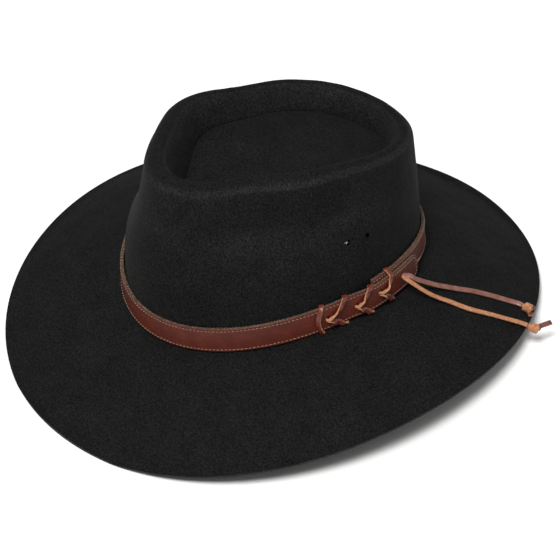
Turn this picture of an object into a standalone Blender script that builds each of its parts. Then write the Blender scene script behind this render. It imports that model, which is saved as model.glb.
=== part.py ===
"""Bush hat: a felt body with a telescope crown and a wide brim, a leather band with an overlapped
end, a lace that crosses over the band, and the lace's two free thongs with a knot on each.

Front is -Y, the wearer's left is +X and up is +Z. The hat rests on the front and the back of its
brim, at Z = 0. Angles round the hat start at the front and grow towards the wearer's left. Metres.
"""

import math
from collections import namedtuple

import bmesh
import bpy
import numpy as np
from mathutils import Matrix, Vector

COLLECTION = "bush_hat"
CUTTERS = "bush_hat_cutters"

# Colours, linear
FELT_BLACK = (0.012, 0.012, 0.012)
LEATHER_RED = (0.085, 0.022, 0.014)
LACE_TAN = (0.26, 0.09, 0.04)

# Felt body: its wall, the head's oval at the break, and the brim's oval at its edge
FELT = 0.0020
HEAD_LENGTH = 0.2020
HEAD_WIDTH = 0.1729
HEAD_EGG = -0.011
HEAD_BACK = 0.0024
BRIM_LENGTH = 0.3623
BRIM_WIDTH = 0.3354
BRIM_EGG = -0.0268
BRIM_SQUARE = 0.0057

# Brim: the edge's rise at the sides, its dips, and the flat it makes on the floor
SIDE_LIFT = 0.0199
QUARTER_DIP = 0.0025
FRONT_LIFT = 0.0014
REST_DIP = 0.0024
REST_SPREAD = 24.0

# Break between brim and crown
BREAK_HEIGHT = 0.0348
BREAK_TILT = 0.0030
BREAK_SADDLE = 0.0062
BREAK_FILLET = 0.0040

# Crown: height from the break to the top, the rim's outline and its roll
CROWN_HEIGHT = 0.0978
CROWN_FRONT_RISE = 0.0116
CROWN_END_DROP = 0.0048
RIM_RADIUS = 0.0692
RIM_SIDE = 0.0008
RIM_BACK = 0.0013
ROLL_HEIGHT = 0.0064
ROLL_OUTSIDE = 0.0066
ROLL_INSIDE = 0.0048
ROLL_FRONT_SHARE = 0.32

# Sunken top: the crease's depth and distance from the roll, and the plateau inside it
CREASE_DEPTH = 0.0170
CREASE_FRONT_DEPTH = 0.0116
CREASE_INSET = 0.0058
PLATEAU_RISE = 0.0049
DENT_DEPTH = 0.0082

# Vents punched through each side of the crown
VENT = 0.0030
VENT_SPACING = 0.0130
VENT_ANGLE = 93.25
VENT_UP = 0.59

# Band: a strap once round the crown, whose outer end lies over its inner end
GAP = 0.0003
BAND = 0.0022
BAND_HEIGHT = 0.0169
BAND_LIFT = 0.0009
BAND_START = 94.0
BAND_OVERLAP = 26.0
BAND_RAMP = 12.0
BAND_END_RAISE = 0.0025
BAND_END_FADE = 60.0
BAND_CORNER = 0.0050

# Lace over the band, and the holes it passes through
LACE_WIDTH = 0.0030
LACE = 0.0014
LACE_HOLE = 0.0028
EXIT_ANGLE = 108.75
EXIT_SHARE = 0.60
EDGE_GAP = 0.0006
EDGE_SHARE = 0.98
HOOK_SHARE = 0.75
HOOK_TURN = 50.0
EDGE_SLOPE = 65.0

# Thongs and their knots: a knot's core and wraps are shares of its length
THONG = 0.0030
KNOT = 0.0080
CORE_WIDTH_SHARE = 0.80
CORE_HEIGHT_SHARE = 0.76
WRAP_RADIUS_SHARE = 0.31
WRAP_THICKNESS_SHARE = 0.15
WRAP_LEANS = (-30.0, 32.0)

# Mesh density
AROUND = 64
CUTTER_SIDES = 16
RIBBON_STEPS = 5
ROUTE_STEPS = 12
THONG_STEP = 0.0075

# Rim outline: waves round the crown, as shares of RIM_RADIUS
Wave = namedtuple("Wave", "count cosine sine")
RIM_WAVES = (
    Wave(1, -0.173, 0.0),
    Wave(2, 0.170, -0.035),
    Wave(3, -0.001, 0.0),
    Wave(4, 0.027, 0.0),
    Wave(5, 0.032, 0.0),
)

# Brim sections, from the edge inwards: share of the way in, and share of the rise to the break
BrimRow = namedtuple("BrimRow", "name inward rise")
BRIM_ROWS = (
    BrimRow("edge", 0.00, 0.000),
    BrimRow("resting_strip", 0.07, 0.065),
    BrimRow("outer", 0.20, 0.240),
    BrimRow("outer_middle", 0.36, 0.420),
    BrimRow("middle", 0.52, 0.590),
    BrimRow("inner_middle", 0.68, 0.750),
    BrimRow("inner", 0.83, 0.890),
    BrimRow("break_start", 0.94, 0.975),
)

# Break sections: distance out of the crown and up, as shares of BREAK_FILLET
BreakRow = namedtuple("BreakRow", "name out up")
BREAK_ROWS = (
    BreakRow("brim_end", 1.00, 0.00),
    BreakRow("fillet", 0.32, 0.20),
    BreakRow("wall_foot", 0.00, 0.65),
)

# Crown wall sections: share of the way up to the rim, and share of the way in to it
WallRow = namedtuple("WallRow", "name up inward")
WALL_ROWS = (
    WallRow("band_middle", 0.11, 0.012),
    WallRow("band_top", 0.21, 0.048),
    WallRow("low", 0.33, 0.088),
    WallRow("middle", 0.48, 0.159),
    WallRow("high", 0.63, 0.342),
    WallRow("shoulder_start", 0.77, 0.581),
    WallRow("shoulder", 0.89, 0.789),
)

# Rolled rim: degrees round the roll, from its outer side to its top
ROLL_ANGLES = (8.0, 36.0, 64.0, 90.0)

# Inner wall from the roll's top to the crease: share of the way in, and share of the depth
TopRow = namedtuple("TopRow", "name inward depth")
TOP_ROWS = (
    TopRow("roll_inside", 0.17, 0.055),
    TopRow("inner_wall_high", 0.38, 0.250),
    TopRow("inner_wall", 0.60, 0.520),
    TopRow("inner_wall_low", 0.80, 0.790),
    TopRow("crease_lip", 0.88, 0.905),
    TopRow("crease", 1.00, 1.000),
)

# Plateau sections inside the crease: share of the crease's outline, and share of PLATEAU_RISE
PlateauRow = namedtuple("PlateauRow", "name outline rise")
PLATEAU_ROWS = (
    PlateauRow("plateau_edge", 0.86, 0.45),
    PlateauRow("plateau", 0.60, 0.88),
    PlateauRow("plateau_middle", 0.28, 1.00),
)

# Dent in each side of the crown: degrees from the front, share of the way up, and their spreads
Dent = namedtuple("Dent", "angle spread up up_spread")
SIDE_DENT = Dent(58.0, 32.0, 0.68, 0.24)

# Crossings of the lace: degrees and share of the band's height at the hole, degrees at the edges
Crossing = namedtuple("Crossing", "name hole_angle hole_share top_angle bottom_angle")
CROSSINGS = (
    Crossing("lace_cross_1", 74.5, 0.42, 82.5, 82.0),
    Crossing("lace_cross_2", 86.0, 0.48, 93.5, 92.5),
    Crossing("lace_cross_3", 96.5, 0.52, 103.0, 102.5),
)

# Lace behind the band's top edge: distance in from the band's inner face as a share of BAND, degrees up
HookRow = namedtuple("HookRow", "name inward lean")
HOOK_ROWS = (
    HookRow("end", 0.8, 90.0),
    HookRow("inner_corner", 0.3, 85.0),
)

# Keeper loop: degrees at the top edge, half way and at the bottom edge
KEEPER_ANGLES = (71.7, 70.2, 71.9)

# Routes of the thongs' centrelines, from the exit hole to the middle of the knot
UPPER_ROUTE = (
    (0.0889, 0.0382, 0.0530),
    (0.0917, 0.0393, 0.0526),
    (0.0939, 0.0412, 0.0506),
    (0.0953, 0.0446, 0.0479),
    (0.0969, 0.0495, 0.0443),
    (0.0991, 0.0552, 0.0404),
    (0.1015, 0.0615, 0.0367),
    (0.1047, 0.0690, 0.0326),
    (0.1086, 0.0767, 0.0289),
    (0.1134, 0.0827, 0.0260),
    (0.1181, 0.0880, 0.0233),
    (0.1238, 0.0940, 0.0200),
    (0.1295, 0.0983, 0.0182),
    (0.1359, 0.1001, 0.0174),
)
LOWER_ROUTE = (
    (0.0899, 0.0349, 0.0526),
    (0.0928, 0.0359, 0.0521),
    (0.0955, 0.0371, 0.0505),
    (0.0981, 0.0388, 0.0484),
    (0.1010, 0.0415, 0.0452),
    (0.1048, 0.0455, 0.0411),
    (0.1082, 0.0500, 0.0375),
    (0.1117, 0.0545, 0.0345),
    (0.1170, 0.0591, 0.0313),
    (0.1223, 0.0636, 0.0288),
    (0.1273, 0.0693, 0.0260),
    (0.1319, 0.0745, 0.0234),
    (0.1388, 0.0820, 0.0194),
    (0.1445, 0.0866, 0.0174),
    (0.1507, 0.0905, 0.0150),
)

# Far ends of the short tails past the knots
UPPER_TAIL = (0.1409, 0.0978, 0.0150)
LOWER_TAIL = (0.1549, 0.1020, 0.0155)


def oval(length, width, egg, square, angle):
    """Plan of an oval of this length and width; egg narrows its front, square fills its corners."""
    across = 0.5 * width * np.sin(angle) * (1.0 - egg * np.cos(angle))
    along = -0.5 * length * np.cos(angle)
    fill = 1.0 + square * np.sin(2.0 * angle) ** 2
    return np.stack([across * fill, along * fill], axis=-1)


def outward(curve, angle):
    """Level unit normals of a closed curve, pointing out of it."""
    step = 1e-4
    ahead = curve(angle + step) - curve(angle - step)
    normal = np.stack([ahead[..., 1], -ahead[..., 0], np.zeros_like(ahead[..., 0])], axis=-1)
    return normal / np.linalg.norm(normal, axis=-1, keepdims=True)


def raised(plan, height):
    """Plan points at their heights."""
    return np.concatenate([plan, np.broadcast_to(height, plan.shape[:-1])[..., None]], axis=-1)


def degrees_from_front(angle):
    """Degrees from the front, the same on both sides."""
    return np.degrees(np.abs((angle + math.pi) % (2.0 * math.pi) - math.pi))


def edge_curve(angle):
    """Underside of the brim's edge: low at the front and back, raised at the sides."""
    plan = oval(BRIM_LENGTH, BRIM_WIDTH, BRIM_EGG, BRIM_SQUARE, angle)
    lift = SIDE_LIFT * np.sin(angle) ** 2 - QUARTER_DIP * np.sin(2.0 * angle) ** 2
    lift = lift + FRONT_LIFT * (np.cos(angle) - np.cos(3.0 * angle))
    return raised(plan, lift)


def break_curve(angle):
    """Inside of the felt where the brim meets the crown."""
    plan = oval(HEAD_LENGTH, HEAD_WIDTH, HEAD_EGG, 0.0, angle) + (0.0, HEAD_BACK)
    height = BREAK_HEIGHT + BREAK_TILT * np.cos(angle) - BREAK_SADDLE * np.cos(2.0 * angle)
    return raised(plan, height)


def rim_curve(angle):
    """Centre of the rolled rim: a teardrop that narrows to the front."""
    radius = np.ones_like(angle)
    for wave in RIM_WAVES:
        radius = radius + wave.cosine * np.cos(wave.count * angle) + wave.sine * np.sin(wave.count * angle)
    radius = RIM_RADIUS * radius
    plan = np.stack([RIM_SIDE + radius * np.sin(angle), RIM_BACK - radius * np.cos(angle)], axis=-1)
    height = BREAK_HEIGHT + CROWN_HEIGHT - ROLL_HEIGHT
    height = height + CROWN_FRONT_RISE * np.cos(angle) - CROWN_END_DROP * np.cos(2.0 * angle)
    return raised(plan, height)


def front_widening(angle):
    """How much wider the roll is towards the front, and narrower towards the back."""
    return (1.0 + ROLL_FRONT_SHARE * np.cos(angle))[..., None]


def side_dent(angle, up):
    """How far the crown's wall is pushed in at this angle and share of its height."""
    around = np.exp(-(((degrees_from_front(angle) - SIDE_DENT.angle) / SIDE_DENT.spread) ** 2))
    return DENT_DEPTH * around * math.exp(-(((up - SIDE_DENT.up) / SIDE_DENT.up_spread) ** 2))


def wall_section(angle, up, inward):
    """One section of the crown wall's inner skin."""
    low = break_curve(angle)
    out = outward(rim_curve, angle)
    high = rim_curve(angle) + out * ROLL_OUTSIDE * front_widening(angle)
    points = low + (high - low) * np.array([inward, inward, up])
    return points - out * side_dent(angle, up)[..., None]


def break_section(angle, row):
    """One section of the bend between the brim and the crown's wall."""
    points = break_curve(angle) + outward(break_curve, angle) * BREAK_FILLET * row.out
    return points + (0.0, 0.0, BREAK_FILLET * row.up)


def brim_section(angle, row):
    """One section of the brim's underside, pressed flat where it rests."""
    edge = edge_curve(angle)
    inner = break_section(angle, BREAK_ROWS[0])
    points = edge + (inner - edge) * np.array([row.inward, row.inward, row.rise])
    from_end = np.minimum(degrees_from_front(angle), degrees_from_front(angle + math.pi))
    dip = REST_DIP * (1.0 - row.inward) * np.exp(-((from_end / REST_SPREAD) ** 2))
    points[..., 2] = np.maximum(points[..., 2] - dip, 0.0)
    return points


def felt_sections(angle):
    """Sections of the felt's inner skin, from the brim's edge to the plateau, and its centre."""
    sections = [brim_section(angle, row) for row in BRIM_ROWS]
    sections += [break_section(angle, row) for row in BREAK_ROWS]
    sections += [wall_section(angle, row.up, row.inward) for row in WALL_ROWS]
    rim = rim_curve(angle)
    out = outward(rim_curve, angle)
    wide = front_widening(angle)
    for turn in np.radians(ROLL_ANGLES):
        rise = (0.0, 0.0, ROLL_HEIGHT * math.sin(turn))
        sections.append(rim + out * ROLL_OUTSIDE * wide * math.cos(turn) + rise)
    depth = CREASE_DEPTH + CREASE_FRONT_DEPTH * (0.5 + 0.5 * np.cos(angle)) ** 2
    inset = ROLL_INSIDE * wide + CREASE_INSET
    for row in TOP_ROWS:
        points = rim - out * inset * row.inward
        points[..., 2] += ROLL_HEIGHT - depth * row.depth
        sections.append(points)
    crease = sections[-1]
    centre = crease.mean(axis=0)
    for row in PLATEAU_ROWS:
        rise = (0.0, 0.0, PLATEAU_RISE * row.rise)
        sections.append(centre + (crease - centre) * row.outline + rise)
    return sections, centre + (0.0, 0.0, PLATEAU_RISE)


def band_skin(angle, height):
    """Outer skin of the felt at this angle, this far above the band's lower edge."""
    angle = np.atleast_1d(angle)
    rows = [break_section(angle, BREAK_ROWS[-1])]
    rows += [wall_section(angle, row.up, row.inward) for row in WALL_ROWS]
    rows = np.stack(rows)
    level = rows[0, :, 2] + BAND_LIFT + height
    points = [[np.interp(level[i], rows[:, i, 2], rows[:, i, k]) for k in (0, 1)] for i in range(len(angle))]
    return raised(np.array(points), level) + outward(break_curve, angle) * FELT


def band_layer(turn):
    """Distance of the strap's inner face from the felt, where turn runs on past 360 degrees."""
    share = np.clip((turn - (BAND_START + 360.0 - BAND_RAMP)) / BAND_RAMP, 0.0, 1.0)
    return GAP + (BAND + GAP) * share * share * (3.0 - 2.0 * share)


def band_raise(turn):
    """How much higher the strap's inner end sits, so that it shows above the outer end."""
    share = np.clip((turn - BAND_START - BAND_OVERLAP) / BAND_END_FADE, 0.0, 1.0)
    return BAND_END_RAISE * (1.0 - share * share * (3.0 - 2.0 * share))


def band_inside(turn, height):
    """A point of the strap's inner face."""
    angle = np.radians([turn])
    return (band_skin(angle, height) + outward(break_curve, angle) * band_layer(turn))[0]


def band_frame(angle, height):
    """The place on the strap's outer face at these degrees and height, its normal and its up."""
    turn = angle + 360.0 if angle <= BAND_START + BAND_OVERLAP else angle
    around = band_inside(turn + 0.5, height) - band_inside(turn - 0.5, height)
    up = band_inside(turn, height + 0.001) - band_inside(turn, height - 0.001)
    up /= np.linalg.norm(up)
    out = np.cross(around, up)
    out /= np.linalg.norm(out)
    return band_inside(turn, height) + out * BAND, out, up


def clear_scene():
    """Remove every object."""
    for item in list(bpy.data.objects):
        bpy.data.objects.remove(item, do_unlink=True)


def new_collection(name):
    """A collection of this name, linked to the scene."""
    made = bpy.data.collections.new(name)
    bpy.context.scene.collection.children.link(made)
    return made


def add_material(item, colour, roughness):
    """Give the object its own plain material."""
    material = bpy.data.materials.new(item.name)
    material.use_nodes = True
    shader = material.node_tree.nodes["Principled BSDF"]
    shader.inputs["Base Color"].default_value = (*colour, 1.0)
    shader.inputs["Roughness"].default_value = roughness
    shader.inputs["Metallic"].default_value = 0.0
    item.data.materials.append(material)


def add_mesh(name, points, faces, collection):
    """A mesh object from points and faces."""
    mesh = bpy.data.meshes.new(name)
    mesh.from_pydata([tuple(float(v) for v in point) for point in points], [], faces)
    mesh.update()
    item = bpy.data.objects.new(name, mesh)
    collection.objects.link(item)
    return item


def add_thickness(item, thickness, offset):
    """Give an open surface its thickness."""
    shell = item.modifiers.new("thickness", "SOLIDIFY")
    shell.thickness = thickness
    shell.offset = offset
    shell.use_even_offset = True


def add_boolean(item, cutter, operation):
    """Cut or join with another object."""
    step = item.modifiers.new(cutter.name, "BOOLEAN")
    step.operation = operation
    step.solver = "EXACT"
    step.object = cutter


def hide_cutter(item):
    """Show a cutter as wire and leave it out of renders."""
    item.hide_render = True
    item.display_type = "WIRE"


def strip_faces(rows, columns, closed):
    """Quads between rows of points; closed joins the last column to the first."""
    faces = []
    for level in range(rows - 1):
        for column in range(columns if closed else columns - 1):
            after = (column + 1) % columns
            low = level * columns
            high = low + columns
            faces.append((low + column, low + after, high + after, high + column))
    return faces


def add_hole(item, point, direction, diameter, depth, collection):
    """Punch a round hole along a direction, from outside the point to this depth behind it."""
    reach = 2.0 * diameter
    cutter_mesh = bmesh.new()
    bmesh.ops.create_cone(
        cutter_mesh, cap_ends=True, segments=CUTTER_SIDES,
        radius1=0.5 * diameter, radius2=0.5 * diameter, depth=reach + depth,
    )
    mesh = bpy.data.meshes.new(item.name + "_hole")
    cutter_mesh.to_mesh(mesh)
    cutter_mesh.free()
    cutter = bpy.data.objects.new(item.name + "_hole", mesh)
    turn = Vector(direction).to_track_quat("Z", "Y")
    place = Vector(point) + Vector(direction) * 0.5 * (reach - depth)
    cutter.matrix_world = Matrix.LocRotScale(place, turn, None)
    collection.objects.link(cutter)
    hide_cutter(cutter)
    add_boolean(item, cutter, "DIFFERENCE")


def build_felt(collection, cutters):
    """Crown and brim, one piece of felt, with its vents."""
    angle = np.linspace(0.0, 2.0 * math.pi, AROUND, endpoint=False)
    sections, centre = felt_sections(angle)
    points = np.concatenate(sections + [centre[None]])
    faces = strip_faces(len(sections), AROUND, True)
    last = (len(sections) - 1) * AROUND
    faces += [(last + i, last + (i + 1) % AROUND, len(points) - 1) for i in range(AROUND)]
    felt = add_mesh("felt_body", points, faces, collection)
    add_thickness(felt, FELT, 1.0)
    felt.data.shade_smooth()
    add_material(felt, FELT_BLACK, 0.9)
    inward = np.interp(VENT_UP, [row.up for row in WALL_ROWS], [row.inward for row in WALL_ROWS])
    for side in (1.0, -1.0):
        middle = np.radians([side * VENT_ANGLE])
        radius = np.hypot(*wall_section(middle, VENT_UP, inward)[0, :2])
        for share in (-0.5, 0.5):
            place = middle + share * VENT_SPACING / radius
            point = wall_section(place, VENT_UP, inward)[0]
            add_hole(felt, point, outward(rim_curve, place)[0], VENT, 2.0 * FELT, cutters)
    return felt


def build_band(collection, cutters):
    """The strap, once round the crown and on over its own inner end, with the lace's holes."""
    end = BAND_START + 360.0 + BAND_OVERLAP
    step = 360.0 / AROUND
    turns = [BAND_START, end - BAND_OVERLAP - BAND_RAMP, end - BAND_OVERLAP]
    turns += list(np.arange(math.ceil(BAND_START / step) * step, end, step))
    radius = 0.5 * HEAD_WIDTH
    corner = math.degrees(BAND_CORNER / radius)
    rounding = end - corner * (1.0 - np.sin(np.radians([0.0, 30.0, 60.0, 90.0])))
    turns = sorted([t for t in turns if t < rounding[0] - 1.0] + list(rounding))
    rows = []
    for share in (0.0, 0.5, 1.0):
        row = []
        for turn in turns:
            short = max(0.0, 1.0 - (end - turn) / corner)
            inset = BAND_CORNER * (1.0 - math.sqrt(max(0.0, 1.0 - short * short)))
            height = inset + share * (BAND_HEIGHT - 2.0 * inset) + band_raise(turn)
            row.append(band_inside(turn, height))
        rows.append(row)
    band = add_mesh("hat_band", np.concatenate(rows), strip_faces(3, len(turns), False), collection)
    add_thickness(band, BAND, 1.0)
    band.data.shade_smooth()
    band.data.set_sharp_from_angle(angle=math.radians(35.0))
    add_material(band, LEATHER_RED, 0.45)
    holes = [(row.hole_angle, row.hole_share) for row in CROSSINGS] + [(EXIT_ANGLE, EXIT_SHARE)]
    for angle, share in holes:
        point, out, _ = band_frame(angle, share * BAND_HEIGHT)
        layers = 2 if angle > BAND_START else 1
        depth = layers * (BAND + GAP) - 0.5 * GAP
        add_hole(band, point, out, LACE_HOLE, depth, cutters)
    return band


def lace_place(angle, height, lift, slope):
    """A place of the lace by the strap: its centre, and half its width along the strap at this slope."""
    edge = min(max(height, 0.0), BAND_HEIGHT)
    point, out, up = band_frame(angle, edge)
    reach = 0.5 * LACE_WIDTH / math.sin(math.radians(slope))
    return point + out * lift + up * (height - edge), np.cross(up, out) * reach


def hook_over(angle, slope):
    """The lace over the band's top edge, from behind it to its outer face."""
    off = EDGE_GAP + 0.5 * LACE
    layered = BAND_START < angle < BAND_START + BAND_OVERLAP
    back = BAND + GAP if layered else 0.0
    top = BAND_HEIGHT + (BAND_END_RAISE if layered else 0.0)
    path = [lace_place(angle, top + off, -back - row.inward * BAND, slope) for row in HOOK_ROWS]
    path.append(lace_place(angle, top + HOOK_SHARE * off, HOOK_SHARE * off - back, slope))
    if layered:
        path.append(lace_place(angle, BAND_HEIGHT + HOOK_SHARE * off, HOOK_SHARE * off, slope))
    return path


def hook_under(angle, slope):
    """The lace round the band's bottom edge, from its outer face to its underside."""
    off = EDGE_GAP + 0.5 * LACE
    turn = math.radians(HOOK_TURN)
    return [
        lace_place(angle, -off * math.sin(0.5 * turn), off * math.cos(0.5 * turn), slope),
        lace_place(angle, -off * math.sin(turn), off * math.cos(turn), slope),
    ]


def face_run(start, end, slope):
    """The lace along the band's face, between two places given as degrees and height."""
    run = []
    for share in np.linspace(0.0, 1.0, RIBBON_STEPS):
        angle = start[0] + (end[0] - start[0]) * share
        height = start[1] + (end[1] - start[1]) * share
        run.append(lace_place(angle, height, GAP + 0.5 * LACE, slope))
    return run


def strand_slope(hole, edge):
    """Degrees between the band and the strand from a hole to an edge, each given as degrees and height."""
    along = math.radians(edge[0] - hole[0]) * 0.5 * HEAD_WIDTH
    return math.degrees(math.atan2(abs(edge[1] - hole[1]), along))


def add_lace(name, path, collection):
    """A flat lace along a path, cut across at each place parallel to the band."""
    left = [point + side for point, side in path]
    right = [point - side for point, side in path]
    lace = add_mesh(name, left + right, strip_faces(2, len(path), False), collection)
    add_thickness(lace, LACE, 0.0)
    add_material(lace, LACE_TAN, 0.6)
    return lace


def build_keeper(collection):
    """The upright loop of lace round the band."""
    top, middle, bottom = KEEPER_ANGLES
    path = hook_over(top, 90.0)
    path += face_run((top, EDGE_SHARE * BAND_HEIGHT), (middle, 0.5 * BAND_HEIGHT), 90.0)
    path += face_run((middle, 0.5 * BAND_HEIGHT), (bottom, (1.0 - EDGE_SHARE) * BAND_HEIGHT), 90.0)[1:]
    path += hook_under(bottom, 90.0)
    return add_lace("lace_keeper", path, collection)


def build_crossing(row, collection):
    """Two strands of lace from one hole, one hooked over the band's top edge, one under it."""
    hole = (row.hole_angle, row.hole_share * BAND_HEIGHT)
    top = (row.top_angle, EDGE_SHARE * BAND_HEIGHT)
    bottom = (row.bottom_angle, (1.0 - EDGE_SHARE) * BAND_HEIGHT)
    rising = strand_slope(hole, top)
    falling = strand_slope(hole, bottom)
    path = hook_over(row.top_angle, EDGE_SLOPE)
    path += face_run(top, hole, rising)
    path += face_run(hole, bottom, falling)[1:]
    path += hook_under(row.bottom_angle, EDGE_SLOPE)
    return add_lace(row.name, path, collection)


def smooth_route(route):
    """A smooth curve through a route's points."""
    points = np.array(route)
    ends = np.concatenate([[2.0 * points[0] - points[1]], points, [2.0 * points[-1] - points[-2]]])
    curve = []
    for p0, p1, p2, p3 in zip(ends[:-3], ends[1:-2], ends[2:-1], ends[3:]):
        for t in np.arange(ROUTE_STEPS) / ROUTE_STEPS:
            curve.append(
                0.5 * (2.0 * p1 + (p2 - p0) * t + (2.0 * p0 - 5.0 * p1 + 4.0 * p2 - p3) * t * t
                       + (3.0 * p1 - 3.0 * p2 + p3 - p0) * t ** 3)
            )
    curve.append(points[-1])
    return np.array(curve)


def add_thong(name, route, collection):
    """The free stretch of the lace, from the exit hole to its knot."""
    curve = smooth_route(route)
    length = np.concatenate([[0.0], np.cumsum(np.linalg.norm(np.diff(curve, axis=0), axis=1))])
    end = length[-1] - 0.5 * KNOT - GAP
    stops = np.linspace(0.0, end, math.ceil(end / THONG_STEP) + 1)
    data = bpy.data.curves.new(name, "CURVE")
    data.dimensions = "3D"
    data.bevel_depth = 0.5 * THONG
    data.bevel_resolution = 2
    data.use_fill_caps = True
    spline = data.splines.new("POLY")
    spline.points.add(len(stops) - 1)
    for point, stop in zip(spline.points, stops):
        place = [float(np.interp(stop, length, curve[:, k])) for k in range(3)]
        point.co = (*place, 1.0)
    thong = bpy.data.objects.new(name, data)
    collection.objects.link(thong)
    add_material(thong, LACE_TAN, 0.6)
    return thong


def add_part(name, shape, matrix, collection):
    """An object with the mesh that a bmesh operator makes, placed by a matrix."""
    part_mesh = bmesh.new()
    shape(part_mesh)
    bmesh.ops.transform(part_mesh, matrix=matrix, verts=part_mesh.verts)
    mesh = bpy.data.meshes.new(name)
    part_mesh.to_mesh(mesh)
    part_mesh.free()
    item = bpy.data.objects.new(name, mesh)
    collection.objects.link(item)
    return item


def torus_mesh(major, minor, collection, name, matrix):
    """A ring of lace wrapped round the knot."""
    bpy.ops.mesh.primitive_torus_add(
        major_radius=major, minor_radius=minor, major_segments=16, minor_segments=8,
    )
    item = bpy.context.active_object
    item.name = name
    item.data.transform(matrix)
    for holder in list(item.users_collection):
        holder.objects.unlink(item)
    collection.objects.link(item)
    return item


def build_knot(name, route, tail, collection, cutters):
    """A pulled-tight knot: a core with two wraps round it, and the short end past it."""
    centre = Vector(route[-1])
    along = (centre - Vector(route[-2])).normalized()
    frame = Matrix.LocRotScale(centre, along.to_track_quat("X", "Z"), None)
    radii = 0.5 * KNOT * Vector((1.0, CORE_WIDTH_SHARE, CORE_HEIGHT_SHARE))
    core = frame @ Matrix.Diagonal((*radii, 1.0))
    knot = add_part(
        name, lambda m: bmesh.ops.create_uvsphere(m, u_segments=16, v_segments=10, radius=1.0),
        core, collection,
    )
    for lean in WRAP_LEANS:
        turn = frame @ Matrix.Rotation(math.radians(lean), 4, "Z") @ Matrix.Rotation(math.pi / 2.0, 4, "Y")
        radius = WRAP_RADIUS_SHARE * KNOT
        wrap = torus_mesh(radius, WRAP_THICKNESS_SHARE * KNOT, cutters, name + "_wrap", turn)
        hide_cutter(wrap)
        add_boolean(knot, wrap, "UNION")
    reach = Vector(tail) - centre
    bar = Matrix.LocRotScale(
        centre + 0.5 * reach, reach.to_track_quat("X", "Z"), Vector((reach.length, LACE_WIDTH, LACE))
    )
    end = add_part(name + "_end", lambda m: bmesh.ops.create_cube(m, size=1.0), bar, cutters)
    hide_cutter(end)
    add_boolean(knot, end, "UNION")
    add_material(knot, LACE_TAN, 0.6)
    return knot


def main():
    """Build the hat."""
    clear_scene()
    parts = new_collection(COLLECTION)
    cutters = new_collection(CUTTERS)
    build_felt(parts, cutters)
    build_band(parts, cutters)
    build_keeper(parts)
    for row in CROSSINGS:
        build_crossing(row, parts)
    add_thong("thong_upper", UPPER_ROUTE, parts)
    add_thong("thong_lower", LOWER_ROUTE, parts)
    build_knot("knot_upper", UPPER_ROUTE, UPPER_TAIL, parts, cutters)
    build_knot("knot_lower", LOWER_ROUTE, LOWER_TAIL, parts, cutters)


main()
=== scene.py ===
"""Looks of a black felt bush hat: nap, stitched leather band, crossed lace and its two knotted thongs.

Front is -Y, the wearer's left is +X and up is +Z, in metres. Angles round the hat start at the front
and grow towards the wearer's left. The hat rests on the floor at Z = 0.
"""

import logging
import math
from dataclasses import dataclass
from enum import IntEnum
from typing import Callable, ClassVar, NamedTuple, Sequence

import bpy
import numpy as np
from mathutils import Matrix, Vector, noise


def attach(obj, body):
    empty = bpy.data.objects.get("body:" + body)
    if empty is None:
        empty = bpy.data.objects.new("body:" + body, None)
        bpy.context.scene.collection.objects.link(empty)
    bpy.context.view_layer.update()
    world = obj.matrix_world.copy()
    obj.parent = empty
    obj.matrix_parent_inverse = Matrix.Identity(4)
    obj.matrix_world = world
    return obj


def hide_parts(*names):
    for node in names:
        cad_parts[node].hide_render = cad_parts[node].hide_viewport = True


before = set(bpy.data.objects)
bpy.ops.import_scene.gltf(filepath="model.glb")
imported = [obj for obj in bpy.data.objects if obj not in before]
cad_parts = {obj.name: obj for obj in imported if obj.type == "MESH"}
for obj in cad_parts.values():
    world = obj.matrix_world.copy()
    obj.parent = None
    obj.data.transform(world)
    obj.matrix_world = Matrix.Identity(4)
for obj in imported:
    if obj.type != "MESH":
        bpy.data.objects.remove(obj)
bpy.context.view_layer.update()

BODY = "root"
MM = 0.001
SEED = 20
TINY = 1e-12
# Depth of each relief, as a share of the size of its pattern
NAP_RELIEF = 0.35
TUFT_RELIEF = 0.12
GRAIN_RELIEF = 0.30
TUFT_BUMP = 0.5
Array = np.ndarray
Piece = bpy.types.Object
Tree = bpy.types.NodeTree
Socket = bpy.types.NodeSocket
Colour = tuple[float, float, float, float]
log = logging.getLogger("bush_hat")


class FeltZone(IntEnum):
    """Faces of the felt body, in the order of its materials."""

    NAP = 0
    CUT = 1


class StrapZone(IntEnum):
    """Faces of the strap, in the order of its materials."""

    GRAIN = 0
    EDGE = 1


class LaceZone(IntEnum):
    """Faces of a lace, in the order of its materials."""

    GRAIN = 0
    FLESH = 1


def linear(colour: str) -> Colour:
    """Turn an sRGB hex colour into linear light.

    Args:
        colour: the colour, such as "#8a4a35".

    Returns:
        Linear red, green and blue, and an alpha of one.
    """
    channels = [int(colour[start : start + 2], 16) / 255.0 for start in (1, 3, 5)]
    red, green, blue = (c / 12.92 if c <= 0.04045 else ((c + 0.055) / 1.055) ** 2.4 for c in channels)
    return red, green, blue, 1.0


def add_node(tree: Tree, kind: str, inputs: dict | None = None, **settings: object) -> bpy.types.Node:
    """Add a node with its settings and links.

    Args:
        tree: the node tree.
        kind: the node's type.
        inputs: a value, or an output socket to link, for each input by name or number.
        settings: the node's own attributes.

    Returns:
        The node.
    """
    node = tree.nodes.new(kind)
    for name, value in settings.items():
        setattr(node, name, value)
    for key, value in (inputs or {}).items():
        if isinstance(value, Socket):
            tree.links.new(value, node.inputs[key])
        else:
            node.inputs[key].default_value = value
    return node


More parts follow.
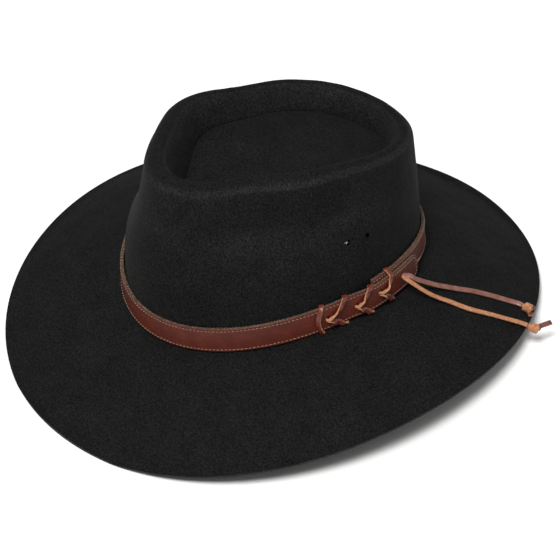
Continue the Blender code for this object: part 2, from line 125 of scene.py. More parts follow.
def smoothed(stations: Array, steps: int) -> Array:
    """Run a smooth curve through stations, each a point or a whole ring of points.

    Args:
        stations: the stations, along the first axis.
        steps: places on the curve for each stretch between two stations.

    Returns:
        The places on the curve, with the last station at the end.
    """
    before = 2.0 * stations[0] - stations[1]
    after = 2.0 * stations[-1] - stations[-2]
    ends = np.concatenate([before[None], stations, after[None]])
    curve = []
    for p0, p1, p2, p3 in zip(ends[:-3], ends[1:-2], ends[2:-1], ends[3:]):
        for t in np.arange(steps) / steps:
            straight = 2.0 * p1 + (p2 - p0) * t
            bend = (2.0 * p0 - 5.0 * p1 + 4.0 * p2 - p3) * t**2 + (3.0 * p1 - 3.0 * p2 + p3 - p0) * t**3
            curve.append(0.5 * (straight + bend))
    curve.append(stations[-1])
    return np.array(curve)


def unit(vectors: Array) -> Array:
    """Vectors of length one, along the last axis."""
    return vectors / np.maximum(np.linalg.norm(vectors, axis=-1, keepdims=True), TINY)


def raised(plan: Array, height: Array | float) -> Array:
    """Plan points at their heights."""
    return np.concatenate([plan, np.broadcast_to(height, plan.shape[:-1])[..., None]], axis=-1)


def eased(share: Array | float) -> Array | float:
    """A share from 0 to 1 that starts and ends gently."""
    held = np.clip(share, 0.0, 1.0)
    return held * held * (3.0 - 2.0 * held)


def lengths_along(points: Array) -> Array:
    """Distance along a line of points, at each of them."""
    return np.concatenate([[0.0], np.cumsum(np.linalg.norm(np.diff(points, axis=0), axis=1))])


def uneven(points: Array, size: float, height: float) -> Array:
    """Draw a soft random height at each point.

    Args:
        points: the points, along the last axis.
        size: distance over which the height changes.
        height: the most that it reaches.

    Returns:
        One height for each point.
    """
    flat = points.reshape(-1, 3) / size
    heights = np.array([noise.noise(Vector(place)) for place in flat])
    return height * heights.reshape(points.shape[:-1])


def grid_faces(rows: int, columns: int) -> Array:
    """Quads of a grid whose last column joins its first.

    Args:
        rows: number of rows of points.
        columns: number of points in a row.

    Returns:
        Four point numbers for each quad, row by row.
    """
    row = np.arange(rows - 1)[:, None] * columns
    low = row + np.arange(columns)
    after = row + (np.arange(columns) + 1) % columns
    return np.stack([low, after, after + columns, low + columns], axis=-1).reshape(-1, 4)


def tube_faces(rings: int, sides: int, first: int = 0) -> list[list[int]]:
    """Faces of a closed tube: its sides, then its first and its last end.

    Args:
        rings: number of rings of points.
        sides: number of points in a ring.
        first: number of the tube's first point.

    Returns:
        The point numbers of each face.
    """
    last = first + (rings - 1) * sides
    ends = [list(range(first, first + sides))[::-1], list(range(last, last + sides))]
    return (first + grid_faces(rings, sides)).tolist() + ends


def make_piece(
    name: str, points: Array, faces: Sequence, materials: Sequence, zones: Sequence[int] | None = None
) -> Piece:
    """Make a smooth mesh object that rides with the hat.

    Args:
        name: the piece's name.
        points: its points.
        faces: point numbers of each face.
        materials: its materials.
        zones: the number of each face's material, or none for the first.

    Returns:
        The object.
    """
    mesh = bpy.data.meshes.new(name)
    mesh.from_pydata(np.asarray(points).tolist(), [], [list(map(int, face)) for face in faces])
    for material in materials:
        mesh.materials.append(material)
    if zones is not None:
        mesh.polygons.foreach_set("material_index", np.asarray(zones, dtype=np.int32))
    mesh.shade_smooth()
    mesh.update()
    piece = bpy.data.objects.new(name, mesh)
    bpy.context.scene.collection.objects.link(piece)
    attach(piece, BODY)
    return piece


class Hole(NamedTuple):
    """A punched hole: its centre, direction, diameter and depth below the centre."""

    centre: Array
    out: Array
    diameter: float
    depth: float


class Surface(NamedTuple):
    """A surface before it is a mesh: its points, its faces and the zone of each face."""

    points: Array
    faces: list[list[int]]
    zones: list[int]


def punch(piece: Piece, holes: Sequence[Hole], material: bpy.types.Material) -> None:
    """Punch round holes through a piece, whose walls take a material.

    Args:
        piece: the piece.
        holes: the holes.
        material: the material of their walls.
    """
    sides = 24
    turn = np.linspace(0.0, 2.0 * math.pi, sides, endpoint=False)
    points = []
    faces = []
    for hole in holes:
        across = unit(np.cross(hole.out, (0.0, 0.0, 1.0)))
        along = np.cross(hole.out, across)
        ring = 0.5 * hole.diameter * (np.cos(turn)[:, None] * across + np.sin(turn)[:, None] * along)
        faces += tube_faces(2, sides, len(points) * sides)
        points += [hole.centre + ring - hole.out * hole.depth, hole.centre + ring + hole.out * hole.depth]
    mesh = bpy.data.meshes.new(piece.name + "_punch")
    mesh.from_pydata(np.concatenate(points).tolist(), [], faces)
    mesh.materials.append(material)
    cutter = bpy.data.objects.new(piece.name + "_punch", mesh)
    bpy.context.scene.collection.objects.link(cutter)
    cut = piece.modifiers.new("punch", "BOOLEAN")
    cut.operation = "DIFFERENCE"
    cut.solver = "EXACT"
    cut.material_mode = "TRANSFER"
    cut.object = cutter
    graph = bpy.context.evaluated_depsgraph_get()
    shaped = bpy.data.meshes.new_from_object(piece.evaluated_get(graph))
    piece.modifiers.clear()
    piece.data = shaped
    bpy.data.objects.remove(cutter, do_unlink=True)


def spikes(roots: Array, ways: Array, lengths: Array, width: float) -> tuple[Array, Array]:
    """Fine hairs, each a closed three-sided spike.

    Args:
        roots: where each hair starts.
        ways: the unit direction of each hair.
        lengths: the length of each hair.
        width: thickness of a hair at its root.

    Returns:
        The points and the faces.
    """
    # Any direction serves that no hair points along
    aside = (0.31, 0.52, 0.79)
    across = unit(np.cross(ways, aside))
    along = np.cross(ways, across)
    corners = []
    for turn in np.radians((0.0, 120.0, 240.0)):
        corners.append(roots + 0.5 * width * (math.cos(turn) * across + math.sin(turn) * along))
    corners.append(roots + ways * lengths[:, None])
    points = np.stack(corners, axis=1).reshape(-1, 3)
    first = 4 * np.arange(len(roots))[:, None]
    sides = [first + np.array(side) for side in ((0, 2, 1), (0, 1, 3), (1, 2, 3), (2, 0, 3))]
    return points, np.concatenate(sides)


def blank_material(name: str) -> bpy.types.Material:
    """Make a material with an empty node tree.

    Args:
        name: its name.

    Returns:
        The material.
    """
    material = bpy.data.materials.new(name)
    material.use_nodes = True
    material.node_tree.nodes.clear()
    return material


@dataclass(frozen=True)
class NoiseLayer:
    """One layer of noise, spread between two levels."""

    size_mm: float
    low: float = 0.35
    high: float = 0.65
    detail: float = 2.0

    def height(self, tree: Tree, place: Socket) -> Socket:
        """Add the layer's nodes.

        Args:
            tree: the node tree.
            place: the coordinates, in metres.

        Returns:
            A socket that runs from 0 to 1.
        """
        scale = 1.0 / (self.size_mm * MM)
        field = add_node(tree, "ShaderNodeTexNoise", {"Vector": place, "Scale": scale, "Detail": self.detail})
        spread = {"Value": field.outputs["Fac"], "From Min": self.low, "From Max": self.high}
        return add_node(tree, "ShaderNodeMapRange", spread).outputs["Result"]


def three_shades(tree: Tree, near: Socket, wide: Socket, shades: Sequence[str]) -> Socket:
    """Colour with three shades over two layers of noise.

    Args:
        tree: the node tree.
        near: the finer layer, from 0 to 1.
        wide: the coarser layer, from 0 to 1.
        shades: hex colours of the hollows, the body and the spots where both layers are high.

    Returns:
        The colour's socket.
    """
    colour, body, spots = (linear(shade) for shade in shades)
    both = add_node(tree, "ShaderNodeMath", {0: wide, 1: near}, operation="MULTIPLY").outputs[0]
    for share, over in ((near, body), (both, spots)):
        mix = {0: share, 6: colour, 7: over}
        colour = add_node(tree, "ShaderNodeMix", mix, data_type="RGBA").outputs[2]
    return colour


@dataclass(frozen=True)
class WoolFelt:
    """Wool felt, dyed black, pressed and brushed: matte, with a short nap that catches a little light."""

    name: str = "wool_felt"
    deep: str = "#070707"
    body: str = "#0f0f0f"
    tips: str = "#282828"
    nap: NoiseLayer = NoiseLayer(0.50, 0.30, 0.70, 3.0)
    tufts: NoiseLayer = NoiseLayer(1.25, 0.30, 0.70, 3.0)
    clouds: NoiseLayer = NoiseLayer(16.0, 0.30, 0.70, 2.0)
    cloud_shades: tuple[float, float] = (0.86, 1.12)
    roughness: float = 0.74
    specular: float = 0.035
    sheen: float = 0.020
    sheen_roughness: float = 0.45
    sheen_tint: str = "#cbcac8"
    bump: float = 0.55
    # Painted highlight: how much lighter the band of the rolled rim that faces up at a slant is drawn
    shoulder_highlight: float = 0.0
    shoulder_highlight_height: tuple[float, float] = (0.092, 0.112)
    shoulder_highlight_tilt: tuple[float, float, float, float] = (0.22, 0.48, 0.66, 0.92)

    def painted_highlight_band(self, tree: Tree, coordinates: bpy.types.Node) -> Socket:
        """Add nodes that find the crown's rolled rim by its height and its slope, where a highlight is
        painted.

        Args:
            tree: the node tree.
            coordinates: the texture coordinates node.

        Returns:
            A socket that is one along the band of painted highlight and zero away from it.
        """
        height = add_node(tree, "ShaderNodeSeparateXYZ", {0: coordinates.outputs["Object"]}).outputs["Z"]
        slope = add_node(tree, "ShaderNodeSeparateXYZ", {0: coordinates.outputs["Normal"]}).outputs["Z"]
        start, full, fade, end = self.shoulder_highlight_tilt
        ranges = ((height, *self.shoulder_highlight_height), (slope, start, full), (slope, end, fade))
        share = 1.0
        for value, low, high in ranges:
            inputs = {"Value": value, "From Min": low, "From Max": high}
            step = add_node(tree, "ShaderNodeMapRange", inputs, interpolation_type="SMOOTHSTEP")
            both = {0: share, 1: step.outputs["Result"]}
            share = add_node(tree, "ShaderNodeMath", both, operation="MULTIPLY").outputs[0]
        return share

    def material(self) -> bpy.types.Material:
        """Make the felt: dark between the hairs, paler at their tips, clouded over a centimetre or two, with
        any painted highlight on the rolled rim.

        Returns:
            The material.
        """
        material = blank_material(self.name)
        tree = material.node_tree
        coordinates = add_node(tree, "ShaderNodeTexCoord")
        place = coordinates.outputs["Object"]
        nap = self.nap.height(tree, place)
        tufts = self.tufts.height(tree, place)
        low, high = self.cloud_shades
        clouded = {"Value": self.clouds.height(tree, place), "To Min": low, "To Max": high}
        shade = add_node(tree, "ShaderNodeMapRange", clouded).outputs["Result"]
        # Painted highlight: lighten the crown's rolled rim where it faces up at a slant
        if self.shoulder_highlight:
            highlighted = {0: self.painted_highlight_band(tree, coordinates), 1: self.shoulder_highlight, 2: shade}
            shade = add_node(tree, "ShaderNodeMath", highlighted, operation="MULTIPLY_ADD").outputs[0]
        channels = dict.fromkeys(("Red", "Green", "Blue"), shade)
        grey = add_node(tree, "ShaderNodeCombineColor", channels).outputs[0]
        dyed = three_shades(tree, nap, tufts, (self.deep, self.body, self.tips))
        mix = {0: 1.0, 6: dyed, 7: grey}
        colour = add_node(tree, "ShaderNodeMix", mix, data_type="RGBA", blend_type="MULTIPLY").outputs[2]
        relief = {"Strength": self.bump, "Distance": NAP_RELIEF * self.nap.size_mm * MM, "Height": nap}
        normal = add_node(tree, "ShaderNodeBump", relief).outputs["Normal"]
        relief = {"Strength": TUFT_BUMP * self.bump, "Distance": TUFT_RELIEF * self.tufts.size_mm * MM}
        relief |= {"Height": tufts, "Normal": normal}
        normal = add_node(tree, "ShaderNodeBump", relief).outputs["Normal"]
        shader = add_node(tree, "ShaderNodeBsdfPrincipled", {
            "Base Color": colour,
            "Roughness": self.roughness,
            "Specular IOR Level": self.specular,
            "Sheen Weight": self.sheen,
            "Sheen Roughness": self.sheen_roughness,
            "Sheen Tint": linear(self.sheen_tint),
            "Normal": normal,
        })
        add_node(tree, "ShaderNodeOutputMaterial", {"Surface": shader.outputs[0]})
        return material


@dataclass(frozen=True)
class Hide:
    """Leather in one of its faces, coloured by three shades over two layers of grain."""

    name: str
    dark: str
    mid: str
    light: str
    grain: NoiseLayer
    patches: NoiseLayer
    roughness: float
    roughness_spread: float
    specular: float
    bump: float
    coat: float = 0.0
    coat_roughness: float = 0.3

    def material(self) -> bpy.types.Material:
        """Make the leather: dark pores or hollows, a middle shade, and lighter worn or fibrous spots.

        Returns:
            The material.
        """
        material = blank_material(self.name)
        tree = material.node_tree
        place = add_node(tree, "ShaderNodeTexCoord").outputs["Object"]
        grain = self.grain.height(tree, place)
        patches = self.patches.height(tree, place)
        low = self.roughness - self.roughness_spread
        high = self.roughness + self.roughness_spread
        rough = add_node(tree, "ShaderNodeMapRange", {"Value": patches, "To Min": high, "To Max": low})
        relief = {"Strength": self.bump, "Distance": GRAIN_RELIEF * self.grain.size_mm * MM, "Height": grain}
        shader = add_node(tree, "ShaderNodeBsdfPrincipled", {
            "Base Color": three_shades(tree, grain, patches, (self.dark, self.mid, self.light)),
            "Roughness": rough.outputs["Result"],
            "Specular IOR Level": self.specular,
            "Coat Weight": self.coat,
            "Coat Roughness": self.coat_roughness,
            "Normal": add_node(tree, "ShaderNodeBump", relief).outputs["Normal"],
        })
        add_node(tree, "ShaderNodeOutputMaterial", {"Surface": shader.outputs[0]})
        return material


# Brushed felt skin. Its hairs are finer than a pixel, so the nap is drawn at about half a millimetre.
# Lightened along the crown's rolled rim: a painted highlight.
FELT_NAP = WoolFelt(shoulder_highlight=0.75)
# Cut felt, unbound: the knife shows the paler inside of the felt, with no brushed tips.
FELT_CUT = WoolFelt(name="wool_felt_cut", deep="#121212", body="#242322", tips="#403e3b", sheen=0.08)
# Walls of the vents: felt that no light reaches, so only its darkest shades are left.
FELT_BORE = WoolFelt(
    name="wool_felt_bore", deep="#030303", body="#070707", tips="#101010", sheen=0.0, specular=0.02
)
# Single felt hairs that stand off the nap, a little paler than it because light goes through them.
FELT_HAIR = WoolFelt(name="wool_felt_hair", deep="#0e0e0e", body="#181818", tips="#2c2c2c", sheen=0.05)
# The leathers' grain is drawn at about 0.4 mm, twice its real size, because a pixel is wider than that.
# Bridle cowhide, dyed red-brown and waxed: smooth, with a soft wide sheen and faint pull-up patches.
STRAP_GRAIN = Hide(
    "waxed_cowhide", "#37120a", "#4f1c11", "#5c2517",
    NoiseLayer(0.45, 0.25, 0.55, 3.0), NoiseLayer(9.0, 0.35, 0.70, 3.0),
    0.40, 0.05, 0.28, 0.10, coat=0.04, coat_roughness=0.30,
)
# Cut edge of the strap: unsealed fibres of the hide and its backing, tan, grey and brown.
STRAP_EDGE = Hide(
    "cowhide_cut_edge", "#1a100b", "#57402e", "#8f806d",
    NoiseLayer(0.35, 0.38, 0.62, 2.0), NoiseLayer(0.8, 0.45, 0.62, 2.0),
    0.90, 0.04, 0.2, 0.8,
)
# Grain face of the lace: the same dye over a thinner, softer hide, rubbed shiny where it bends.
LACE_GRAIN = Hide(
    "lace_grain", "#3d150c", "#5f2517", "#743526",
    NoiseLayer(0.40, 0.25, 0.60, 3.0), NoiseLayer(2.5, 0.35, 0.70, 2.0),
    0.34, 0.05, 0.50, 0.15, coat=0.2, coat_roughness=0.22,
)
# Grain of the two free ends: a paler, greyer pinkish brown than the rest of the lace.
THONG_GRAIN = Hide(
    "pale_thong_grain", "#563026", "#774a3e", "#8c665e",
    NoiseLayer(0.40, 0.25, 0.60, 3.0), NoiseLayer(5.0, 0.35, 0.70, 2.0),
    0.38, 0.05, 0.45, 0.15, coat=0.15, coat_roughness=0.25,
)
# Flesh side and cut sides of the lace: undyed tan suede, matte and fibrous.
LACE_FLESH = Hide(
    "lace_flesh", "#80513a", "#ae7753", "#c6946f",
    NoiseLayer(0.35, 0.30, 0.62, 3.0), NoiseLayer(1.5, 0.40, 0.70, 2.0),
    0.85, 0.05, 0.25, 0.6,
)
# Pale fibres at a vent's mouth: painted light, a white speck that stands in for the light seen through the
# vent.
PALE_VENT_FIBRES = Hide(
    "pale_vent_fibres", "#b5afa6", "#dcd8d0", "#f0ede8",
    NoiseLayer(0.20, 0.35, 0.65, 1.0), NoiseLayer(0.8, 0.40, 0.70, 1.0),
    0.90, 0.04, 0.1, 0.2,
)
# Waxed linen thread, undyed: a beige that has greyed.
THREAD = Hide(
    "linen_thread", "#574a3e", "#857462", "#a59583",
    NoiseLayer(0.18, 0.35, 0.65, 1.0), NoiseLayer(1.2, 0.40, 0.70, 1.0),
    0.70, 0.05, 0.3, 0.5,
)


class Wave(NamedTuple):
    """A wave of the rim's outline round the crown, as shares of its radius."""

    count: int
    cosine: float
    sine: float


class Section(NamedTuple):
    """A section of the felt: a share of the way in, and a share of the rise."""

    name: str
    inward: float
    rise: float


class Dent(NamedTuple):
    """A dent in each side of the crown: degrees and share of the height, with their spreads."""

    angle: float
    spread: float
    up: float
    up_spread: float


RIM_WAVES = (
    Wave(1, -0.173, 0.0),
    Wave(2, 0.170, -0.035),
    Wave(3, -0.001, 0.0),
    Wave(4, 0.027, 0.0),
    Wave(5, 0.032, 0.0),
)
BRIM_ROWS = (
    Section("edge", 0.00, 0.000),
    Section("resting_strip", 0.07, 0.065),
    Section("outer", 0.20, 0.240),
    Section("outer_middle", 0.36, 0.420),
    Section("middle", 0.52, 0.590),
    Section("inner_middle", 0.68, 0.750),
    Section("inner", 0.83, 0.890),
    Section("break_start", 0.94, 0.975),
)
# Out of the crown, and up, as shares of the break's fillet
BREAK_ROWS = (
    Section("brim_end", 1.00, 0.00),
    Section("fillet", 0.32, 0.20),
    Section("wall_foot", 0.00, 0.65),
)
WALL_ROWS = (
    Section("band_middle", 0.012, 0.11),
    Section("band_top", 0.048, 0.21),
    Section("low", 0.088, 0.33),
    Section("middle", 0.159, 0.48),
    Section("high", 0.342, 0.63),
    Section("shoulder_start", 0.581, 0.77),
    Section("shoulder", 0.789, 0.89),
)
ROLL_ANGLES = (8.0, 36.0, 64.0, 90.0)
# Inwards from the roll to the crease, and down as a share of its depth
TOP_ROWS = (
    Section("roll_inside", 0.17, 0.055),
    Section("inner_wall_high", 0.38, 0.250),
    Section("inner_wall", 0.60, 0.520),
    Section("inner_wall_low", 0.80, 0.790),
    Section("crease_lip", 0.88, 0.905),
    Section("crease", 1.00, 1.000),
)
# Share of the crease's outline, and share of the plateau's rise
PLATEAU_ROWS = (
    Section("plateau_edge", 0.86, 0.45),
    Section("plateau", 0.60, 0.88),
    Section("plateau_middle", 0.28, 1.00),
)
SIDE_DENT = Dent(58.0, 32.0, 0.68, 0.24)


@dataclass(frozen=True)
class FeltShape:
    """Form of the felt's inner skin, worked out at any angle round the hat."""

    felt: float = 0.0020
    head_length: float = 0.2020
    head_width: float = 0.1729
    head_egg: float = -0.011
    head_back: float = 0.0024
    brim_length: float = 0.3623
    brim_width: float = 0.3354
    brim_egg: float = -0.0268
    brim_square: float = 0.0057
    side_lift: float = 0.0199
    quarter_dip: float = 0.0025
    front_lift: float = 0.0014
    rest_dip: float = 0.0024
    rest_spread: float = 24.0
    break_height: float = 0.0348
    break_tilt: float = 0.0030
    break_saddle: float = 0.0062
    break_fillet: float = 0.0040
    crown_height: float = 0.0978
    crown_front_rise: float = 0.0116
    crown_end_drop: float = 0.0048
    rim_radius: float = 0.0692
    rim_side: float = 0.0008
    rim_back: float = 0.0013
    roll_height: float = 0.0064
    roll_outside: float = 0.0066
    roll_inside: float = 0.0048
    roll_front_share: float = 0.32
    crease_depth: float = 0.0170
    crease_front_depth: float = 0.0116
    crease_inset: float = 0.0058
    plateau_rise: float = 0.0049
    dent_depth: float = 0.0082

    @staticmethod
    def oval(length: float, width: float, egg: float, square: float, angle: Array) -> Array:
        """Plan of an oval.

        Args:
            length: front to back.
            width: side to side.
            egg: how much its front narrows.
            square: how much its corners fill out.
            angle: angles round the hat.

        Returns:
            A plan point for each angle.
        """
        across = 0.5 * width * np.sin(angle) * (1.0 - egg * np.cos(angle))
        along = -0.5 * length * np.cos(angle)
        fill = 1.0 + square * np.sin(2.0 * angle) ** 2
        return np.stack([across * fill, along * fill], axis=-1)

    @staticmethod
    def outward(curve: Callable[[Array], Array], angle: Array) -> Array:
        """Level unit normals of a closed curve.

        Args:
            curve: the curve, as a function of the angle.
            angle: angles round the hat.

        Returns:
            A normal for each angle, pointing out of the curve.
        """
        step = 1e-4
        ahead = curve(angle + step) - curve(angle - step)
        return unit(np.stack([ahead[..., 1], -ahead[..., 0], np.zeros_like(ahead[..., 0])], axis=-1))

    @staticmethod
    def from_front(angle: Array) -> Array:
        """Degrees from the front, the same on both sides."""
        return np.degrees(np.abs((angle + math.pi) % (2.0 * math.pi) - math.pi))

    def edge(self, angle: Array) -> Array:
        """Underside of the brim's edge: low at the front and back, raised at the sides.

        Args:
            angle: angles round the hat.

        Returns:
            A point for each angle.
        """
        plan = self.oval(self.brim_length, self.brim_width, self.brim_egg, self.brim_square, angle)
        lift = self.side_lift * np.sin(angle) ** 2 - self.quarter_dip * np.sin(2.0 * angle) ** 2
        return raised(plan, lift + self.front_lift * (np.cos(angle) - np.cos(3.0 * angle)))

    def brim_break(self, angle: Array) -> Array:
        """Inside of the felt where the brim meets the crown.

        Args:
            angle: angles round the hat.

        Returns:
            A point for each angle.
        """
        plan = self.oval(self.head_length, self.head_width, self.head_egg, 0.0, angle) + (0.0, self.head_back)
        height = self.break_height + self.break_tilt * np.cos(angle) - self.break_saddle * np.cos(2.0 * angle)
        return raised(plan, height)

    def rim(self, angle: Array) -> Array:
        """Centre of the rolled rim: a teardrop that narrows to the front.

        Args:
            angle: angles round the hat.

        Returns:
            A point for each angle.
        """
        radius = np.ones_like(angle)
        for wave in RIM_WAVES:
            turn = wave.count * angle
            radius = radius + wave.cosine * np.cos(turn) + wave.sine * np.sin(turn)
        radius = self.rim_radius * radius
        across = self.rim_side + radius * np.sin(angle)
        plan = np.stack([across, self.rim_back - radius * np.cos(angle)], axis=-1)
        height = self.break_height + self.crown_height - self.roll_height
        height = height + self.crown_front_rise * np.cos(angle) - self.crown_end_drop * np.cos(2.0 * angle)
        return raised(plan, height)

    def widening(self, angle: Array) -> Array:
        """How much wider the roll is towards the front, and narrower towards the back."""
        return (1.0 + self.roll_front_share * np.cos(angle))[..., None]

    def wall(self, angle: Array, row: Section) -> Array:
        """One section of the crown's wall.

        Args:
            angle: angles round the hat.
            row: the section's shares.

        Returns:
            A point of the inner skin for each angle.
        """
        low = self.brim_break(angle)
        out = self.outward(self.rim, angle)
        high = self.rim(angle) + out * self.roll_outside * self.widening(angle)
        points = low + (high - low) * np.array([row.inward, row.inward, row.rise])
        around = np.exp(-(((self.from_front(angle) - SIDE_DENT.angle) / SIDE_DENT.spread) ** 2))
        dent = self.dent_depth * around * math.exp(-(((row.rise - SIDE_DENT.up) / SIDE_DENT.up_spread) ** 2))
        return points - out * dent[..., None]

    def bend(self, angle: Array, row: Section) -> Array:
        """One section of the bend between the brim and the crown's wall.

        Args:
            angle: angles round the hat.
            row: the section's shares.

        Returns:
            A point of the inner skin for each angle.
        """
        out = self.outward(self.brim_break, angle)
        points = self.brim_break(angle) + out * self.break_fillet * row.inward
        return points + (0.0, 0.0, self.break_fillet * row.rise)

    def brim(self, angle: Array, row: Section) -> Array:
        """One section of the brim's underside, pressed flat where it rests.

        Args:
            angle: angles round the hat.
            row: the section's shares.

        Returns:
            A point of the inner skin for each angle.
        """
        edge = self.edge(angle)
        inner = self.bend(angle, BREAK_ROWS[0])
        points = edge + (inner - edge) * np.array([row.inward, row.inward, row.rise])
        from_end = np.minimum(self.from_front(angle), self.from_front(angle + math.pi))
        dip = self.rest_dip * (1.0 - row.inward) * np.exp(-((from_end / self.rest_spread) ** 2))
        points[..., 2] = np.maximum(points[..., 2] - dip, 0.0)
        return points

    def rings(self, angle: Array) -> list[Array]:
        """Every section from the brim's edge to the centre of the plateau.

        Args:
            angle: angles round the hat, evenly spaced.

        Returns:
            Rings of points of the inner skin; the last one is the centre, repeated.
        """
        rings = [self.brim(angle, row) for row in BRIM_ROWS]
        rings += [self.bend(angle, row) for row in BREAK_ROWS]
        rings += [self.wall(angle, row) for row in WALL_ROWS]
        rim = self.rim(angle)
        out = self.outward(self.rim, angle)
        wide = self.widening(angle)
        for turn in np.radians(ROLL_ANGLES):
            rise = (0.0, 0.0, self.roll_height * math.sin(turn))
            rings.append(rim + out * self.roll_outside * wide * math.cos(turn) + rise)
        depth = self.crease_depth + self.crease_front_depth * (0.5 + 0.5 * np.cos(angle)) ** 2
        inset = self.roll_inside * wide + self.crease_inset
        for row in TOP_ROWS:
            points = rim - out * inset * row.inward
            points[..., 2] += self.roll_height - depth * row.rise
            rings.append(points)
        crease = rings[-1]
        centre = crease.mean(axis=0)
        for row in PLATEAU_ROWS:
            rings.append(centre + (crease - centre) * row.inward + (0.0, 0.0, self.plateau_rise * row.rise))
        rings.append(np.broadcast_to(centre + (0.0, 0.0, self.plateau_rise), crease.shape))
        return rings

    def skin(self, columns: int, steps: int) -> Array:
        """A fine grid of the inner skin.

        Args:
            columns: points in each ring, an even number.
            steps: rings for each stretch between two sections.

        Returns:
            Rings from the brim's edge to the centre, which the last ring repeats.
        """
        angle = np.linspace(0.0, 2.0 * math.pi, columns, endpoint=False)
        rings = self.rings(angle)
        beyond = np.roll(rings[-2], columns // 2, axis=0)
        grid = smoothed(np.stack([*rings, beyond]), steps)[:-steps]
        grid[..., 2] = np.maximum(grid[..., 2], 0.0)
        return grid


@dataclass
class FeltBody:
    """Crown and brim, one piece of felt, with its punched vents and its nap of standing hairs."""

    shape: FeltShape
    columns: int = 288
    outer_steps: int = 5
    inner_steps: int = 2
    normal_passes: int = 14
    swell: float = 0.0010
    swell_size: float = 0.036
    dimple: float = 0.00018
    dimple_size: float = 0.009
    cut_shares: tuple[float, ...] = (0.12, 0.32, 0.5, 0.68, 0.88)
    cut_bulge: float = 0.00012
    vent: float = 0.0030
    vent_spacing: float = 0.0130
    vent_angle: float = 93.25
    vent_up: float = 0.59
    pin: float = 0.0009
    pin_depth: float = 0.0012
    pins: tuple[tuple[float, float], ...] = ((93.75, 0.100), (92.25, 0.0891))
    hairs: int = 22000
    hair_width: float = 0.00007
    hair_length: tuple[float, float] = (0.0004, 0.0013)
    hair_root: float = 0.0001
    hair_lift: float = 0.75
    hair_sway: float = 0.55
    hair_least_lift: float = 0.15
    wisp: int = 44
    wisp_length: float = 0.0021
    wisp_lengths: tuple[float, float] = (0.4, 1.0)
    wisp_width: float = 0.00020
    wisp_off_centre: float = 0.42
    wisp_spread: float = 0.00025
    wisp_sway: float = 0.45

    def normals(self, grid: Array) -> Array:
        """Outward normals of the inner skin, eased across its tight bends.

        Args:
            grid: rings of the inner skin.

        Returns:
            A unit normal for each of its points.
        """
        around = np.roll(grid, -1, axis=1) - np.roll(grid, 1, axis=1)
        inward = np.gradient(grid, axis=0)
        normals = unit(np.cross(around, inward))
        normals[-1] = unit(normals[-2].mean(axis=0))
        for _ in range(self.normal_passes):
            middle = normals[:-2] + 2.0 * normals[1:-1] + normals[2:]
            normals[1:-1] = unit(middle)
        return normals

    def outer_skin(self) -> tuple[Array, Array]:
        """The outer skin, a little uneven as pressed felt is.

        Returns:
            Its grid of points, and a normal for each.
        """
        grid = self.shape.skin(self.columns, self.outer_steps)
        normals = self.normals(grid)
        outer = grid + normals * self.shape.felt
        lift = uneven(outer, self.swell_size, self.swell) + uneven(outer, self.dimple_size, self.dimple)
        fade = np.minimum(1.0, np.arange(len(grid)) / self.outer_steps)[:, None]
        return outer + normals * (lift * fade)[..., None], normals

    @staticmethod
    def wall_section(name: str, rise: float) -> Section:
        """The section of the crown's wall at any share of its rise."""
        inward = np.interp(rise, [row.rise for row in WALL_ROWS], [row.inward for row in WALL_ROWS])
        return Section(name, float(inward), rise)

    def vent_holes(self) -> list[Hole]:
        """Place two vents through each side of the crown.

        Returns:
            The vents, the front one of the wearer's left first.
        """
        row = self.wall_section("vent", self.vent_up)
        holes = []
        for side in (1.0, -1.0):
            middle = np.radians([side * self.vent_angle])
            radius = np.hypot(*self.shape.wall(middle, row)[0, :2])
            for share in (-0.5, 0.5):
                place = middle + share * self.vent_spacing / radius
                out = self.shape.outward(self.shape.rim, place)[0]
                centre = self.shape.wall(place, row)[0] + out * 0.5 * self.shape.felt
                holes.append(Hole(centre, out, self.vent, 4.0 * self.shape.felt))
        return holes

    def pin_marks(self) -> list[Hole]:
        """Place the pin holes by the vents of the wearer's left, which stop inside the felt.

        Returns:
            The pin holes.
        """
        marks = []
        for degrees, height in self.pins:
            angle = np.radians([degrees])
            levels = [self.shape.wall(angle, row)[0, 2] for row in WALL_ROWS]
            rise = float(np.interp(height, levels, [row.rise for row in WALL_ROWS]))
            out = self.shape.outward(self.shape.rim, angle)[0]
            surface = self.shape.wall(angle, self.wall_section("pin", rise))[0] + out * self.shape.felt
            marks.append(Hole(surface, out, self.pin, self.pin_depth))
        return marks

    def add_hairs(self, outer: Array, normals: Array) -> Piece:
        """Single hairs that stand off the nap and soften its outline.

        Args:
            outer: grid of the outer skin.
            normals: its normals.

        Returns:
            The hairs, as one piece.
        """
        rng = np.random.default_rng(SEED)
        corner = outer[:-1]
        across = np.roll(outer, -1, axis=1)[:-1] - corner
        along = outer[1:] - corner
        area = np.linalg.norm(np.cross(across, along), axis=-1).ravel()
        chosen = rng.choice(len(area), size=self.hairs, p=area / area.sum())
        shares = rng.random((self.hairs, 2))
        roots = corner.reshape(-1, 3)[chosen] + across.reshape(-1, 3)[chosen] * shares[:, :1]
        roots = roots + along.reshape(-1, 3)[chosen] * shares[:, 1:]
        out = normals[:-1].reshape(-1, 3)[chosen]
        ways = unit(self.hair_lift * out + rng.normal(0.0, self.hair_sway, (self.hairs, 3)))
        short = np.maximum(0.0, self.hair_least_lift - (ways * out).sum(axis=1))[:, None]
        ways = unit(ways + out * short * 2.0)
        lengths = rng.uniform(*self.hair_length, self.hairs)
        points, faces = spikes(roots - out * self.hair_root, ways, lengths, self.hair_width)
        hairs = make_piece("felt_hairs", points, faces, [FELT_HAIR.material()])
        return hairs

